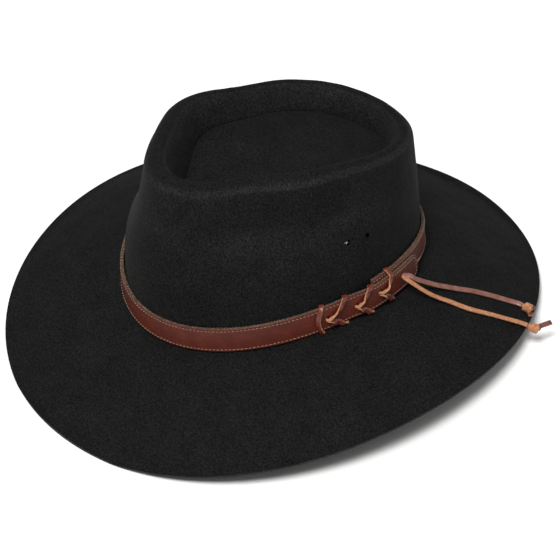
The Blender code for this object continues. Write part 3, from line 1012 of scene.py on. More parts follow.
    def add_vent_light_fibres(self) -> Piece:
        """Pale fibres in the front vent of the wearer's left: painted light that stands in for the light seen
        through the vent.

        Returns:
            The fibres.
        """
        rng = np.random.default_rng(SEED + 3)
        vent = self.vent_holes()[0]
        side = unit(np.cross((0.0, 0.0, 1.0), vent.out))
        mouth = vent.centre + vent.out * 0.5 * self.shape.felt - side * self.wisp_off_centre * self.vent
        roots = mouth + rng.normal(0.0, self.wisp_spread, (self.wisp, 3))
        towards = vent.out * 0.5 + np.array([0.0, 0.0, 0.6]) - side * 0.2
        ways = unit(towards + rng.normal(0.0, self.wisp_sway, (self.wisp, 3)))
        lengths = rng.uniform(*self.wisp_lengths, self.wisp) * self.wisp_length
        points, faces = spikes(roots, ways, lengths, self.wisp_width)
        wisp = make_piece("vent_light_fibres", points, faces, [PALE_VENT_FIBRES.material()])
        return wisp

    def build(self) -> list[Piece]:
        """Build and dress the felt.

        Returns:
            The felt, its hairs and the pale fibres of painted light in the vent.
        """
        outer, normals = self.outer_skin()
        inner = self.shape.skin(self.columns, self.inner_steps)
        angle = np.linspace(0.0, 2.0 * math.pi, self.columns, endpoint=False)
        out = self.shape.outward(self.shape.edge, angle)
        cut = [
            inner[0] + (outer[0] - inner[0]) * share + out * self.cut_bulge * math.sin(math.pi * share)
            for share in self.cut_shares
        ]
        rows = [*inner[-2::-1], *cut, *outer[:-1]]
        under = len(inner) - 1
        faces = grid_faces(len(rows), self.columns)
        zones = np.zeros(len(faces), dtype=int)
        zones[(under - 1) * self.columns : (under + len(cut)) * self.columns] = FeltZone.CUT
        points = np.concatenate([*rows, inner[-1][:1], outer[-1][:1]])
        low_centre = len(rows) * self.columns
        last = low_centre - self.columns
        ring = np.arange(self.columns)
        after = (ring + 1) % self.columns
        fans = [(low_centre, b, a) for a, b in zip(ring, after)]
        fans += [(last + a, last + b, low_centre + 1) for a, b in zip(ring, after)]
        zones = np.concatenate([zones, np.full(len(fans), FeltZone.NAP)])
        cut_material = FELT_CUT.material()
        felt = make_piece("felt", points, [*faces, *fans], [FELT_NAP.material(), cut_material], zones)
        punch(felt, self.vent_holes() + self.pin_marks(), FELT_BORE.material())
        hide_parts("felt_body")
        return [felt, self.add_hairs(outer, normals), self.add_vent_light_fibres()]


class StitchRing(NamedTuple):
    """A ring of a stitch: share of its length, height and width as shares of the thread's radius."""

    share: float
    lift: float
    wide: float


class ThreadPlace(NamedTuple):
    """A place of the loose thread: degrees past the strap's end, share of its height, mm off its face."""

    past: float
    share: float
    off: float


# Half of the strap's section, in millimetres. Across its face, from the middle, as distances from its edge
FACE_ROWS = (8.45, 6.2, 4.3, 3.0, 2.3)
# The groove that the thread presses: distance from the seam, and share of its depth
GROOVE_ROWS = ((0.30, 0.0), (0.15, 0.6), (0.0, 1.0), (-0.15, 0.6), (-0.30, 0.0))
# Round the outer corner and down the cut edge: distance from the edge, and below the outer face
CORNER_ROWS = (
    (1.0, 0.0, StrapZone.GRAIN),
    (0.55, 0.03, StrapZone.GRAIN),
    (0.25, 0.12, StrapZone.GRAIN),
    (0.08, 0.30, StrapZone.EDGE),
    (0.0, 0.6, StrapZone.EDGE),
    (0.0, 0.95, StrapZone.EDGE),
    (0.0, 1.3, StrapZone.EDGE),
    (0.0, 1.65, StrapZone.EDGE),
)
# Round the inner corner and across the back: distance from the edge, and above the inner face
BACK_ROWS = ((0.08, 0.28), (0.25, 0.10), (0.6, 0.0), (5.0, 0.0), (8.45, 0.0))
STITCH = (
    StitchRing(0.12, -1.9, 0.55),
    StitchRing(0.23, -0.2, 0.9),
    StitchRing(0.36, 0.40, 1.0),
    StitchRing(0.5, 0.50, 1.0),
    StitchRing(0.64, 0.40, 1.0),
    StitchRing(0.77, -0.2, 0.9),
    StitchRing(0.88, -1.9, 0.55),
)
LOOSE_THREAD = (
    ThreadPlace(-0.9, 0.60, 0.1),
    ThreadPlace(0.0, 0.60, 0.3),
    ThreadPlace(0.9, 0.58, 0.2),
    ThreadPlace(1.7, 0.59, 0.6),
    ThreadPlace(2.3, 0.63, 1.1),
)


@dataclass
class HatBand:
    """The strap, once round the crown and on over its own inner end, with its stitches."""

    shape: FeltShape
    gap: float = 0.0003
    thick: float = 0.0022
    height: float = 0.0169
    lift: float = 0.0009
    start: float = 94.0
    overlap: float = 26.0
    ramp: float = 12.0
    end_raise: float = 0.0025
    end_fade: float = 60.0
    corner: float = 0.0050
    hole: float = 0.0028
    hole_places: tuple[tuple[float, float], ...] = ((74.3, 0.44), (86.2, 0.47), (96.2, 0.57), (108.75, 0.60))
    pitch: float = 0.0025
    seam: float = 0.00175
    groove: float = 0.00012
    needle: float = 0.00090
    seam_ends: tuple[float, float] = (0.4, 0.2)
    corner_holes: tuple[float, ...] = (0.0, 40.0, 80.0)
    end_holes: tuple[float, ...] = (0.42, 0.58)
    thread: float = 0.00052
    thread_sides: int = 6
    thread_drift: float = 0.00005
    edge_rough: float = 0.00016
    edge_rough_sizes: tuple[float, float] = (0.0011, 0.0004)
    lint: int = 5200
    lint_length: tuple[float, float] = (0.0003, 0.0009)
    lint_width: float = 0.00011
    lint_root: float = 0.00005
    lint_sway: float = 0.7
    columns_in_pitch: tuple[float, ...] = (0.0, 0.12, 0.22, 0.5, 0.78, 0.88)

    @property
    def end(self) -> float:
        """Degrees at the outer end, counted on past a full turn."""
        return self.start + 360.0 + self.overlap

    def layer(self, turn: Array) -> Array:
        """Distance of the strap's inner face from the felt."""
        share = (turn - (self.start + 360.0 - self.ramp)) / self.ramp
        return self.gap + (self.thick + self.gap) * eased(share)

    def raise_of_end(self, turn: Array) -> Array:
        """How much higher the inner end sits, so that it shows above the outer end."""
        return self.end_raise * (1.0 - eased((turn - self.start - self.overlap) / self.end_fade))

    def inside(self, turn: Array, height: Array) -> Array:
        """Points of the strap's inner face.

        Args:
            turn: degrees round the hat.
            height: distance above the strap's lower edge.

        Returns:
            A point for each pair.
        """
        angle = np.radians(turn)
        foot = self.shape.bend(angle, BREAK_ROWS[-1])
        rows = np.stack([foot] + [self.shape.wall(angle, row) for row in WALL_ROWS])
        level = rows[0, ..., 2] + self.lift + height
        plan = rows[0, ..., :2].copy()
        for low, high in zip(rows[:-1], rows[1:]):
            share = np.clip((level - low[..., 2]) / (high[..., 2] - low[..., 2]), 0.0, 1.0)
            plan += (high[..., :2] - low[..., :2]) * share[..., None]
        out = self.shape.outward(self.shape.brim_break, angle)
        return raised(plan, level) + out * (self.shape.felt + self.layer(turn))[..., None]

    def frame(self, turn: Array, height: Array) -> tuple[Array, Array, Array]:
        """Places on the strap's outer face.

        Args:
            turn: degrees round the hat.
            height: distance above the strap's lower edge.

        Returns:
            The points, the unit normals and the unit directions up the strap.
        """
        around = self.inside(turn + 0.5, height) - self.inside(turn - 0.5, height)
        up = unit(self.inside(turn, height + MM) - self.inside(turn, height - MM))
        out = unit(np.cross(around, up))
        return self.inside(turn, height) + out * self.thick, out, up

    def outer_frame(self, angle: Array, height: Array) -> tuple[Array, Array, Array]:
        """Places on the layer that shows.

        Args:
            angle: degrees round the hat, less than a full turn.
            height: distance above the strap's lower edge.

        Returns:
            The points, the unit normals and the unit directions up the strap.
        """
        angle = np.asarray(angle, dtype=float)
        turn = np.where(angle <= self.start + self.overlap, angle + 360.0, angle)
        return self.frame(turn, np.asarray(height, dtype=float))

    def corner_turn(self) -> float:
        """Degrees that the rounded corner of the outer end takes."""
        return math.degrees(self.corner / (0.5 * self.shape.head_width))

    def inset(self, turn: Array) -> Array:
        """How far the strap's edges draw in at its rounded outer end."""
        short = np.clip(1.0 - (self.end - turn) / self.corner_turn(), 0.0, 1.0)
        return self.corner * (1.0 - np.sqrt(1.0 - short * short))

    def holes_along(self) -> Array:
        """Space the needle holes evenly along the strap.

        Returns:
            Degrees of each hole.
        """
        from_start, from_end = self.seam_ends
        samples = 4000
        turns = np.linspace(self.start + from_start, self.end - self.corner_turn() - from_end, samples)
        length = lengths_along(self.inside(turns, np.full_like(turns, 0.5 * self.height)))
        count = int(length[-1] / self.pitch)
        return np.interp(np.linspace(0.0, length[-1], count + 1), length, turns)

    def section(self) -> list[tuple[float, float, int]]:
        """Half of the strap's section, from the middle of its face to the middle of its back.

        Returns:
            Distance from the edge, distance from the inner face, and the zone of the face that follows.
        """
        top = self.thick
        grain = StrapZone.GRAIN
        rows = [(edge * MM, top, grain) for edge in FACE_ROWS]
        rows += [(self.seam + off * MM, top - self.groove * share, grain) for off, share in GROOVE_ROWS]
        rows += [(edge * MM, top - below * MM, zone) for edge, below, zone in CORNER_ROWS]
        rows += [(edge * MM, above * MM, StrapZone.EDGE) for edge, above in BACK_ROWS]
        return rows

    def strap_columns(self) -> tuple[Array, Array]:
        """Places of the strap's columns.

        Returns:
            Degrees of each column, and whether it runs through a needle hole.
        """
        holes = self.holes_along()
        turns = []
        marks = []
        for low, high in zip(holes[:-1], holes[1:]):
            for share in self.columns_in_pitch:
                turns.append(low + (high - low) * share)
                marks.append(share == 0.0)
        rounding = self.end - self.corner_turn() * (1.0 - np.sin(np.radians(np.linspace(0.0, 90.0, 10))))
        turns += list(rounding)
        marks += [False] * len(rounding)
        return np.array(turns), np.array(marks)

    def build_strap(self) -> Piece:
        """Build and dress the strap.

        Returns:
            The strap.
        """
        turns, marks = self.strap_columns()
        half = self.section()
        # The upper half runs the other way, so each of its faces has the zone of the row before
        loop = [(edge, depth, zone, False) for edge, depth, zone in half]
        loop += [(*half[i][:2], half[i - 1][2], True) for i in range(len(half) - 2, 0, -1)]
        inset = self.inset(turns)
        tall = 0.5 * self.height - inset
        rows = []
        for edge, depth, _, top in loop:
            height = inset + np.minimum(edge, tall)
            height = self.height - height if top else height
            place = self.inside(turns, height + self.raise_of_end(turns))
            _, out, up = self.frame(turns, height + self.raise_of_end(turns))
            deep = np.full_like(turns, depth)
            if abs(edge - self.seam) < 0.1 * MM and depth > 0.5 * self.thick:
                deep = deep - np.where(marks, self.needle, 0.0)
            points = place + out * deep[:, None]
            if edge < 0.1 * MM:
                coarse, fine = self.edge_rough_sizes
                rough = uneven(points, coarse, self.edge_rough) + uneven(points, fine, 0.5 * self.edge_rough)
                points = points + up * (rough if top else -rough)[:, None]
            rows.append(points)
        sides = len(rows)
        points = np.stack(rows, axis=1).reshape(-1, 3)
        *quads, first_end, last_end = tube_faces(len(turns), sides)
        # One side of the strap after another, because all the faces of a side have one zone
        quads = np.array(quads).reshape(-1, sides, 4).swapaxes(0, 1).reshape(-1, 4)
        faces = [*quads.tolist(), first_end, last_end]
        zones = np.repeat([int(zone) for _, _, zone, _ in loop], len(turns) - 1)
        zones = np.append(zones, [StrapZone.EDGE, StrapZone.EDGE])
        edge_material = STRAP_EDGE.material()
        strap = make_piece("strap", points, faces, [STRAP_GRAIN.material(), edge_material], zones)
        holes = []
        for angle, share in self.hole_places:
            point, out, _ = self.outer_frame(np.array([angle]), np.array([share * self.height]))
            holes.append(Hole(point[0], out[0], self.hole, self.thick - 0.5 * self.gap))
        punch(strap, holes, edge_material)
        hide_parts("hat_band")
        return strap

    def seam_path(self) -> list[tuple[Array, Array]]:
        """Needle holes of each seam, as degrees and heights.

        Returns:
            The lower seam, the upper seam, and the seam across the rounded outer end.
        """
        holes = self.holes_along()
        raised_by = self.raise_of_end(holes)
        lower = (holes, self.seam + raised_by)
        upper = (holes, self.height - self.seam + raised_by)
        radius = 0.5 * self.shape.head_width
        bend = self.corner - self.seam
        centre = self.end - self.corner_turn()
        turn = np.radians(self.corner_holes)
        low = []
        for lean in turn:
            degrees = centre + math.degrees(bend * math.sin(lean) / radius)
            low.append((degrees, self.corner - bend * math.cos(lean)))
        side = centre + math.degrees(bend / radius)
        middle = [(side, self.height * share) for share in self.end_holes]
        path = np.array(low + middle + [(t, self.height - h) for t, h in reversed(low)])
        return [lower, upper, (path[:, 0], path[:, 1])]

    def build_stitches(self) -> Piece:
        """Stitches that dip into the needle holes at both ends.

        Returns:
            All the stitches, as one piece.
        """
        rng = np.random.default_rng(SEED + 1)
        sides = self.thread_sides
        spin = np.linspace(0.0, 2.0 * math.pi, sides, endpoint=False)
        points = []
        faces = []
        for turns, heights in self.seam_path():
            place, out, _ = self.frame(turns, heights)
            for index in range(len(turns) - 1):
                ahead = place[index + 1] - place[index]
                normal = unit(out[index] + out[index + 1])
                sideways = unit(np.cross(ahead, normal))
                drift = sideways * rng.normal(0.0, self.thread_drift)
                faces += tube_faces(len(STITCH), sides, len(points))
                for share, lift, wide in STITCH:
                    middle = place[index] + ahead * share + normal * (lift * 0.5 * self.thread) + drift
                    radius = 0.5 * self.thread * wide
                    around = [math.cos(s) * sideways + math.sin(s) * normal for s in spin]
                    points += [middle + radius * way for way in around]
        stitches = make_piece("strap_stitches", np.array(points), faces, [THREAD.material()])
        return stitches

    def build_lint(self) -> Piece:
        """Loose fibres along the strap's cut upper edge, in three shades.

        Returns:
            The fibres, as one piece.
        """
        rng = np.random.default_rng(SEED + 2)
        turn = rng.uniform(self.start + 0.5, self.end - self.corner_turn(), self.lint)
        height = self.height + self.raise_of_end(turn)
        place, out, up = self.frame(turn, height)
        across = rng.uniform(0.05, 0.95, self.lint) * self.thick
        roots = place - out * across[:, None] - up * self.lint_root
        around = unit(np.cross(up, out))
        sway = rng.normal(0.0, self.lint_sway, (self.lint, 2))
        ways = unit(up + around * sway[:, :1] + out * sway[:, 1:] * 0.6)
        lengths = rng.uniform(*self.lint_length, self.lint)
        points, faces = spikes(roots, ways, lengths, self.lint_width)
        shades = [STRAP_EDGE.material(), THREAD.material(), LACE_FLESH.material()]
        zones = np.tile(rng.integers(0, len(shades), self.lint), 4)
        lint = make_piece("strap_edge_fibres", points, faces, shades, zones)
        return lint

    def build_loose_thread(self) -> Piece:
        """The end of the seam's thread, loose past the strap's outer end.

        Returns:
            The thread end.
        """
        past, share, off = np.array(LOOSE_THREAD).T
        turns = self.end + past
        heights = self.height * share
        place = self.frame(turns, heights)[0]
        out = self.frame(np.minimum(turns, self.end), heights)[1]
        middle = smoothed(place + out * off[:, None] * MM, 5)
        strand = 0.6 * self.thread
        points, faces, _ = Ribbon(strand, strand).sweep(middle, np.tile(out[0], (len(middle), 1)))
        thread = make_piece("strap_thread_end", points, faces, [THREAD.material()])
        return thread

    def build(self) -> list[Piece]:
        """Build and dress the strap, its stitches, its fibres and the loose thread."""
        return [self.build_strap(), self.build_stitches(), self.build_lint(), self.build_loose_thread()]


@dataclass(frozen=True)
class Ribbon:
    """A flat lace of this width and thickness, with a domed grain face and soft corners."""

    width: float = 0.0030
    thick: float = 0.0014
    rough_size: float = 0.0016
    rough_share: float = 0.05

    # Across the width and through the thickness, as shares of their halves, and the face that follows
    OUTLINE: ClassVar[tuple[tuple[float, float, LaceZone], ...]] = (
        (-0.80, 0.94, LaceZone.GRAIN),
        (-0.42, 1.00, LaceZone.GRAIN),
        (0.0, 1.04, LaceZone.GRAIN),
        (0.42, 1.00, LaceZone.GRAIN),
        (0.80, 0.94, LaceZone.GRAIN),
        (0.97, 0.66, LaceZone.FLESH),
        (1.00, 0.0, LaceZone.FLESH),
        (0.96, -0.70, LaceZone.FLESH),
        (0.78, -1.00, LaceZone.FLESH),
        (0.0, -1.04, LaceZone.FLESH),
        (-0.78, -1.00, LaceZone.FLESH),
        (-0.96, -0.70, LaceZone.FLESH),
        (-1.00, 0.0, LaceZone.FLESH),
        (-0.97, 0.66, LaceZone.GRAIN),
    )

    def sweep(self, middle: Array, looks: Array, full: Array | float = 1.0) -> Surface:
        """Sweep the lace along its middle line.

        Args:
            middle: points of the middle line.
            looks: the way that the grain face looks at each point.
            full: share of the full width, at each point or everywhere.

        Returns:
            The points, the faces and the zone of each face.
        """
        ahead = unit(np.gradient(middle, axis=0))
        side = unit(np.cross(ahead, looks))
        out = np.cross(side, ahead)
        half = 0.5 * self.width * np.broadcast_to(full, len(middle))[:, None]
        rings = []
        for across, through, _ in self.OUTLINE:
            rings.append(middle + side * half * across + out * 0.5 * self.thick * through)
        sides = len(rings)
        points = np.stack(rings, axis=1)
        rough = uneven(points, self.rough_size, self.rough_share * self.thick)
        points = points + out[:, None] * rough[..., None]
        faces = [face[::-1] for face in tube_faces(len(middle), sides)]
        zones = [int(zone) for _, _, zone in self.OUTLINE] * (len(middle) - 1)
        return Surface(points.reshape(-1, 3), faces, zones + [int(LaceZone.FLESH)] * 2)


def turned(looks: Array, ahead: Array, degrees: Array) -> Array:
    """Turn the way that a face looks about the way ahead.

    Args:
        looks: the ways that it looks.
        ahead: unit ways ahead.
        degrees: the turn, positive towards the side that ahead x looks points to.

    Returns:
        The turned ways.
    """
    turn = np.radians(degrees)[:, None]
    return looks * np.cos(turn) + np.cross(ahead, looks) * np.sin(turn)


class StrandPlace(NamedTuple):
    """A place on the strap's face: degrees, and millimetres above its lower edge."""

    angle: float
    up: float


class LaceRow(NamedTuple):
    """A place of a lace's middle line, with the way that its grain face looks.

    It gives degrees round the hat, millimetres up the strap, millimetres out of the strap's face, degrees
    that the grain face leans up, and degrees of twist.
    """

    angle: float
    up: float
    out: float
    lean: float
    twist: float


class CrossingRoute(NamedTuple):
    """The strands of one crossing, each from its hole to an edge of the strap."""

    node: str
    upper: tuple[StrandPlace, ...]
    lower: tuple[StrandPlace, ...]
    top: StrandPlace
    bottom: StrandPlace


CROSSING_ROUTES = (
    CrossingRoute(
        "lace_cross_1",
        (StrandPlace(74.1, 7.7), StrandPlace(75.3, 8.7), StrandPlace(77.0, 9.7), StrandPlace(78.6, 11.1),
         StrandPlace(79.7, 13.0), StrandPlace(80.4, 15.0)),
        (StrandPlace(74.2, 7.2), StrandPlace(76.0, 6.0), StrandPlace(77.6, 4.0), StrandPlace(78.9, 1.9)),
        StrandPlace(81.8, 17.9), StrandPlace(81.4, -1.1),
    ),
    CrossingRoute(
        "lace_cross_2",
        (StrandPlace(86.1, 8.2), StrandPlace(87.3, 9.4), StrandPlace(88.6, 10.3), StrandPlace(89.6, 12.0),
         StrandPlace(90.4, 14.2), StrandPlace(90.9, 15.6)),
        (StrandPlace(86.2, 7.6), StrandPlace(87.6, 5.8), StrandPlace(88.8, 3.8), StrandPlace(89.8, 1.9)),
        StrandPlace(92.1, 17.9), StrandPlace(91.7, -1.0),
    ),
    CrossingRoute(
        "lace_cross_3",
        (StrandPlace(96.0, 10.0), StrandPlace(97.6, 10.0), StrandPlace(99.3, 10.4), StrandPlace(100.7, 12.1),
         StrandPlace(101.5, 14.4), StrandPlace(101.7, 15.8)),
        (StrandPlace(96.1, 8.5), StrandPlace(97.4, 6.5), StrandPlace(98.9, 4.0), StrandPlace(100.1, 2.0)),
        StrandPlace(102.2, 17.9), StrandPlace(101.8, -1.0),
    ),
)


@dataclass
class Lacing:
    """The lace over the strap: a keeper loop and three crossings of two strands each."""

    band: HatBand
    ribbon: Ribbon = Ribbon(width=0.0033)
    clear: float = 0.00015
    steps: int = 7
    start_twist: float = 90.0
    flat_at: float = 0.78
    start_width: float = 0.55
    full_at: float = 0.34
    keeper_twist: float = 48.0

    def lift(self, twist: Array) -> Array:
        """Find how far the lace's middle must stand off the strap.

        Args:
            twist: degrees that the lace is turned by.

        Returns:
            Distance from the strap's face, in metres.
        """
        turn = np.radians(twist)
        flat = self.ribbon.thick * np.abs(np.cos(turn))
        return self.clear + 0.5 * (flat + self.ribbon.width * np.abs(np.sin(turn)))

    def sweep(self, rows: Sequence[LaceRow], narrow: bool = False) -> Surface:
        """Sweep a strand along its rows.

        Args:
            rows: the places of its middle line.
            narrow: whether it starts squeezed in a hole.

        Returns:
            The points, the faces and their zones.
        """
        table = np.array(rows)
        height = np.clip(table[:, 1] * MM, 0.0, self.band.height)
        point, out, up = self.band.outer_frame(table[:, 0], height)
        middle = point + out * table[:, 2:3] * MM + up * (table[:, 1] * MM - height)[:, None]
        lean = np.radians(table[:, 3])[:, None]
        looks = out * np.cos(lean) + up * np.sin(lean)
        middle = smoothed(middle, self.steps)
        looks = unit(smoothed(looks, self.steps))
        twist = smoothed(table[:, 4:5], self.steps)[:, 0]
        ahead = unit(np.gradient(middle, axis=0))
        looks = unit(looks - ahead * (looks * ahead).sum(axis=1)[:, None])
        gone = np.linspace(0.0, 1.0, len(middle)) / self.full_at
        full = self.start_width + (1.0 - self.start_width) * eased(gone) if narrow else 1.0
        return self.ribbon.sweep(middle, turned(looks, ahead, twist), full)

    def strand(self, places: Sequence[StrandPlace], end: StrandPlace, rising: bool) -> Surface:
        """One strand of a crossing, from inside its hole to behind an edge of the strap.

        Args:
            places: its places on the strap's face.
            end: its place past the strap's edge.
            rising: whether it goes over the upper edge, and not under the lower one.

        Returns:
            The points, the faces and their zones.
        """
        sign = 1.0 if rising else -1.0
        share = np.linspace(0.0, 1.0, len(places))
        twist = self.start_twist * (1.0 - eased(share / self.flat_at))
        start = places[0]
        rows = [LaceRow(start.angle - 0.5, start.up, out=-1.3, lean=0.0, twist=sign * self.start_twist)]
        for place, degrees in zip(places, twist):
            rows.append(LaceRow(place.angle, place.up, float(self.lift(degrees)) / MM, 0.0, sign * degrees))
        layered = rising and end.angle > self.band.start
        back = (self.band.thick + self.band.gap) / MM if layered else 0.0
        over = self.band.end_raise / MM if layered else 0.0
        near = 0.5 * (places[-1].angle + end.angle)
        edge = self.band.height / MM if rising else 0.0
        rows.append(LaceRow(near, edge + sign * 0.35, out=0.85, lean=sign * 35.0, twist=0.0))
        if layered:
            rows.append(LaceRow(end.angle, edge + 0.5 * over + 0.6, out=-0.9, lean=70.0, twist=4.0))
        rows.append(LaceRow(end.angle, end.up + over, out=-0.5 - back, lean=sign * 88.0, twist=0.0))
        rows.append(LaceRow(end.angle + 0.3, end.up + over, out=-1.9 - back, lean=sign * 92.0, twist=0.0))
        return self.sweep(rows, narrow=True)

    def keeper_rows(self) -> list[LaceRow]:
        """Lay the keeper from behind the upper edge to under the lower one.

        Returns:
            The rows of its middle line.
        """
        twist = self.keeper_twist
        lift = float(self.lift(np.array(twist))) / MM
        return [
            LaceRow(72.6, 18.0, -1.9, 92.0, 0.0),
            LaceRow(72.3, 18.2, -0.6, 85.0, 6.0),
            LaceRow(71.7, 17.4, 0.85, 40.0, 0.6 * twist),
            LaceRow(71.0, 15.2, lift, 5.0, twist),
            LaceRow(70.4, 12.4, lift, 0.0, twist),
            LaceRow(70.1, 9.2, lift, 0.0, twist),
            LaceRow(70.2, 5.9, lift, 0.0, twist),
            LaceRow(70.7, 2.6, lift, -5.0, twist),
            LaceRow(71.3, -0.2, 0.9, -35.0, 0.6 * twist),
            LaceRow(71.8, -1.15, -0.3, -80.0, 5.0),
            LaceRow(72.0, -1.1, -1.4, -90.0, 0.0),
        ]

    def make(self, node: str, strands: Sequence[Surface]) -> Piece:
        """Join strands into the piece that stands for one node.

        Args:
            node: the node's name.
            strands: the strands, each a closed surface.

        Returns:
            The piece.
        """
        points = []
        faces = []
        zones = []
        for strand_points, strand_faces, strand_zones in strands:
            first = sum(len(made) for made in points)
            points.append(strand_points)
            faces += [[first + corner for corner in face] for face in strand_faces]
            zones += strand_zones
        materials = [LACE_GRAIN.material(), LACE_FLESH.material()]
        piece = make_piece(node.replace("lace_", "laced_"), np.concatenate(points), faces, materials, zones)
        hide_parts(node)
        return piece

    def build(self) -> list[Piece]:
        """Build and dress the keeper and the crossings.

        Returns:
            The pieces.
        """
        pieces = [self.make("lace_keeper", [self.sweep(self.keeper_rows())])]
        for route in CROSSING_ROUTES:
            upper = self.strand(route.upper, route.top, True)
            lower = self.strand(route.lower, route.bottom, False)
            pieces.append(self.make(route.node, [upper, lower]))
        return pieces


class KnotRow(NamedTuple):
    """A place of the knot's core: share of its half length, mm above its axis, and how the grain looks."""

    along: float
    above: float
    looks: tuple[float, float, float]


KNOT_CORE = (
    KnotRow(-1.0, 0.0, (0.0, 0.0, -1.0)),
    KnotRow(-0.3, 0.2, (0.0, 0.0, -1.0)),
    KnotRow(0.5, 0.5, (0.0, 0.0, -1.0)),
    KnotRow(0.95, 1.5, (0.6, 0.0, 0.8)),
)
# Points of each thong's middle line, from its hole to the middle of its knot
UPPER_ROUTE = (
    (0.0889, 0.0382, 0.0530),
    (0.0917, 0.0393, 0.0526),
    (0.0939, 0.0412, 0.0506),
    (0.0953, 0.0446, 0.0479),
    (0.0969, 0.0495, 0.0443),
    (0.0991, 0.0552, 0.0404),
    (0.1015, 0.0615, 0.0367),
    (0.1047, 0.0690, 0.0326),
    (0.1086, 0.0767, 0.0289),
    (0.1134, 0.0827, 0.0260),
    (0.1181, 0.0880, 0.0233),
    (0.1238, 0.0940, 0.0200),
    (0.1295, 0.0983, 0.0182),
    (0.1359, 0.1001, 0.0174),
)
LOWER_ROUTE = (
    (0.0899, 0.0349, 0.0526),
    (0.0928, 0.0359, 0.0521),
    (0.0955, 0.0371, 0.0505),
    (0.0981, 0.0388, 0.0484),
    (0.1010, 0.0415, 0.0452),
    (0.1048, 0.0455, 0.0411),
    (0.1082, 0.0500, 0.0375),
    (0.1117, 0.0545, 0.0345),
    (0.1170, 0.0591, 0.0313),
    (0.1223, 0.0636, 0.0288),
    (0.1273, 0.0693, 0.0260),
    (0.1319, 0.0745, 0.0234),
    (0.1388, 0.0820, 0.0194),
    (0.1445, 0.0866, 0.0174),
    (0.1507, 0.0905, 0.0150),
)


@dataclass
class Thong:
    """A free end of the lace, from its hole in the strap to its knot, and the short end past it."""

    side: str
    route: tuple[tuple[float, float, float], ...]
    tail: tuple[float, float, float]
    twist: tuple[float, ...]
    band: HatBand
    ribbon: Ribbon
    exit_angle: float = 108.75
    exit_share: float = 0.60
    start_offset: float = 0.0
    start_depth: float = 0.0010
    start_width: float = 0.62
    start_length: float = 0.0045
    skipped: int = 1
    knot: float = 0.0080
    gap: float = 0.0003
    wrap_turns: float = 1.6
    wrap_step: float = 40.0
    wrap_start: float = 0.55
    wrap_travel: float = 1.15
    wrap_radius: float = 0.0024
    steps: int = 12
    knot_steps: int = 6
    line_points: int = 90

    def exit_frame(self) -> tuple[Array, Array]:
        """Centre of the hole that the thong leaves, and the direction out of it."""
        height = np.array([self.exit_share * self.band.height])
        point, out, _ = self.band.outer_frame(np.array([self.exit_angle]), height)
        return point[0], out[0]

    def line(self) -> Array:
        """Lay the thong's middle line, from inside the hole to the start of the knot.

        Returns:
            Points along it, evenly spaced.
        """
        point, out = self.exit_frame()
        inside = point + (0.0, 0.0, self.start_offset) - out * self.start_depth
        curve = smoothed(np.array([inside, *self.route[self.skipped :]]), self.steps)
        length = lengths_along(curve)
        stops = np.linspace(0.0, length[-1] - 0.5 * self.knot - self.gap, self.line_points)
        return np.stack([np.interp(stops, length, curve[:, axis]) for axis in range(3)], axis=1)

    def build_thong(self) -> Piece:
        """Build and dress the free stretch.

        Returns:
            The thong.
        """
        middle = self.line()
        ahead = unit(np.gradient(middle, axis=0))
        looks = np.tile((0.0, 0.0, 1.0), (len(middle), 1))
        looks = unit(looks - ahead * (looks * ahead).sum(axis=1)[:, None])
        stops = np.linspace(0.0, 1.0, len(self.twist))
        twist = np.interp(np.linspace(0.0, 1.0, len(middle)), stops, self.twist)
        gone = np.linalg.norm(middle - middle[0], axis=1) / self.start_length
        full = self.start_width + (1.0 - self.start_width) * eased(gone)
        points, faces, zones = self.ribbon.sweep(middle, turned(looks, ahead, twist), full)
        materials = [THONG_GRAIN.material(), LACE_FLESH.material()]
        thong = make_piece(f"thong_lace_{self.side}", points, faces, materials, zones)
        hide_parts(f"thong_{self.side}")
        return thong

    def build_knot(self) -> Piece:
        """Build and dress the knot: a core, wraps drawn tight round it, and the short end.

        Returns:
            The knot.
        """
        centre = np.array(self.route[-1])
        along = unit(centre - np.array(self.route[-2]))
        across = unit(np.cross((0.0, 0.0, 1.0), along))
        above = np.cross(along, across)
        axes = np.stack([along, across, above])
        half = 0.5 * self.knot
        rows = [(row.along * half, 0.0, row.above * MM) for row in KNOT_CORE]
        looks = [row.looks for row in KNOT_CORE]
        all_turns = 2.0 * math.pi * self.wrap_turns
        for turn in np.arange(0.0, all_turns, math.radians(self.wrap_step)):
            share = turn / all_turns
            aside, up = -math.sin(turn), math.cos(turn)
            place = half * (self.wrap_start - self.wrap_travel * share)
            rows.append((place, self.wrap_radius * aside, self.wrap_radius * up))
            looks.append((0.0, -aside, -up))
        middle = centre + np.array(rows) @ axes
        ways = np.array(looks) @ axes
        tail = np.array(self.tail)
        leave = centre + 0.45 * (tail - centre) - above * 0.3 * MM
        middle = np.concatenate([middle, [centre - along * 0.2 * half - above * 0.5 * MM, leave, tail]])
        ways = np.concatenate([ways, [above, above, above]])
        middle = smoothed(middle, self.knot_steps)
        ways = unit(smoothed(ways, self.knot_steps))
        points, faces, zones = self.ribbon.sweep(middle, ways)
        materials = [LACE_GRAIN.material(), LACE_FLESH.material()]
        knot = make_piece(f"thong_knot_{self.side}", points, faces, materials, zones)
        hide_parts(f"knot_{self.side}")
        return knot

    def build(self) -> list[Piece]:
        """Returns:
            The thong and the knot.
        """
        thong = self.build_thong()
        knot = self.build_knot()
        line = self.line()
        length = float(np.linalg.norm(np.diff(line, axis=0), axis=1).sum())
        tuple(self.exit_frame()[0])
        log.info("thong %s: %.1f mm to its knot", self.side, length / MM)
        return [thong, knot]


class Softbox(NamedTuple):
    """A soft square light that looks at the hat.

    Its place is given as distances to the camera's right, away from it and up, from the hat's middle, its
    size as the length of its sides, and its power in watts.
    """

    name: str
    place: tuple[float, float, float]
    size: float
    power: float


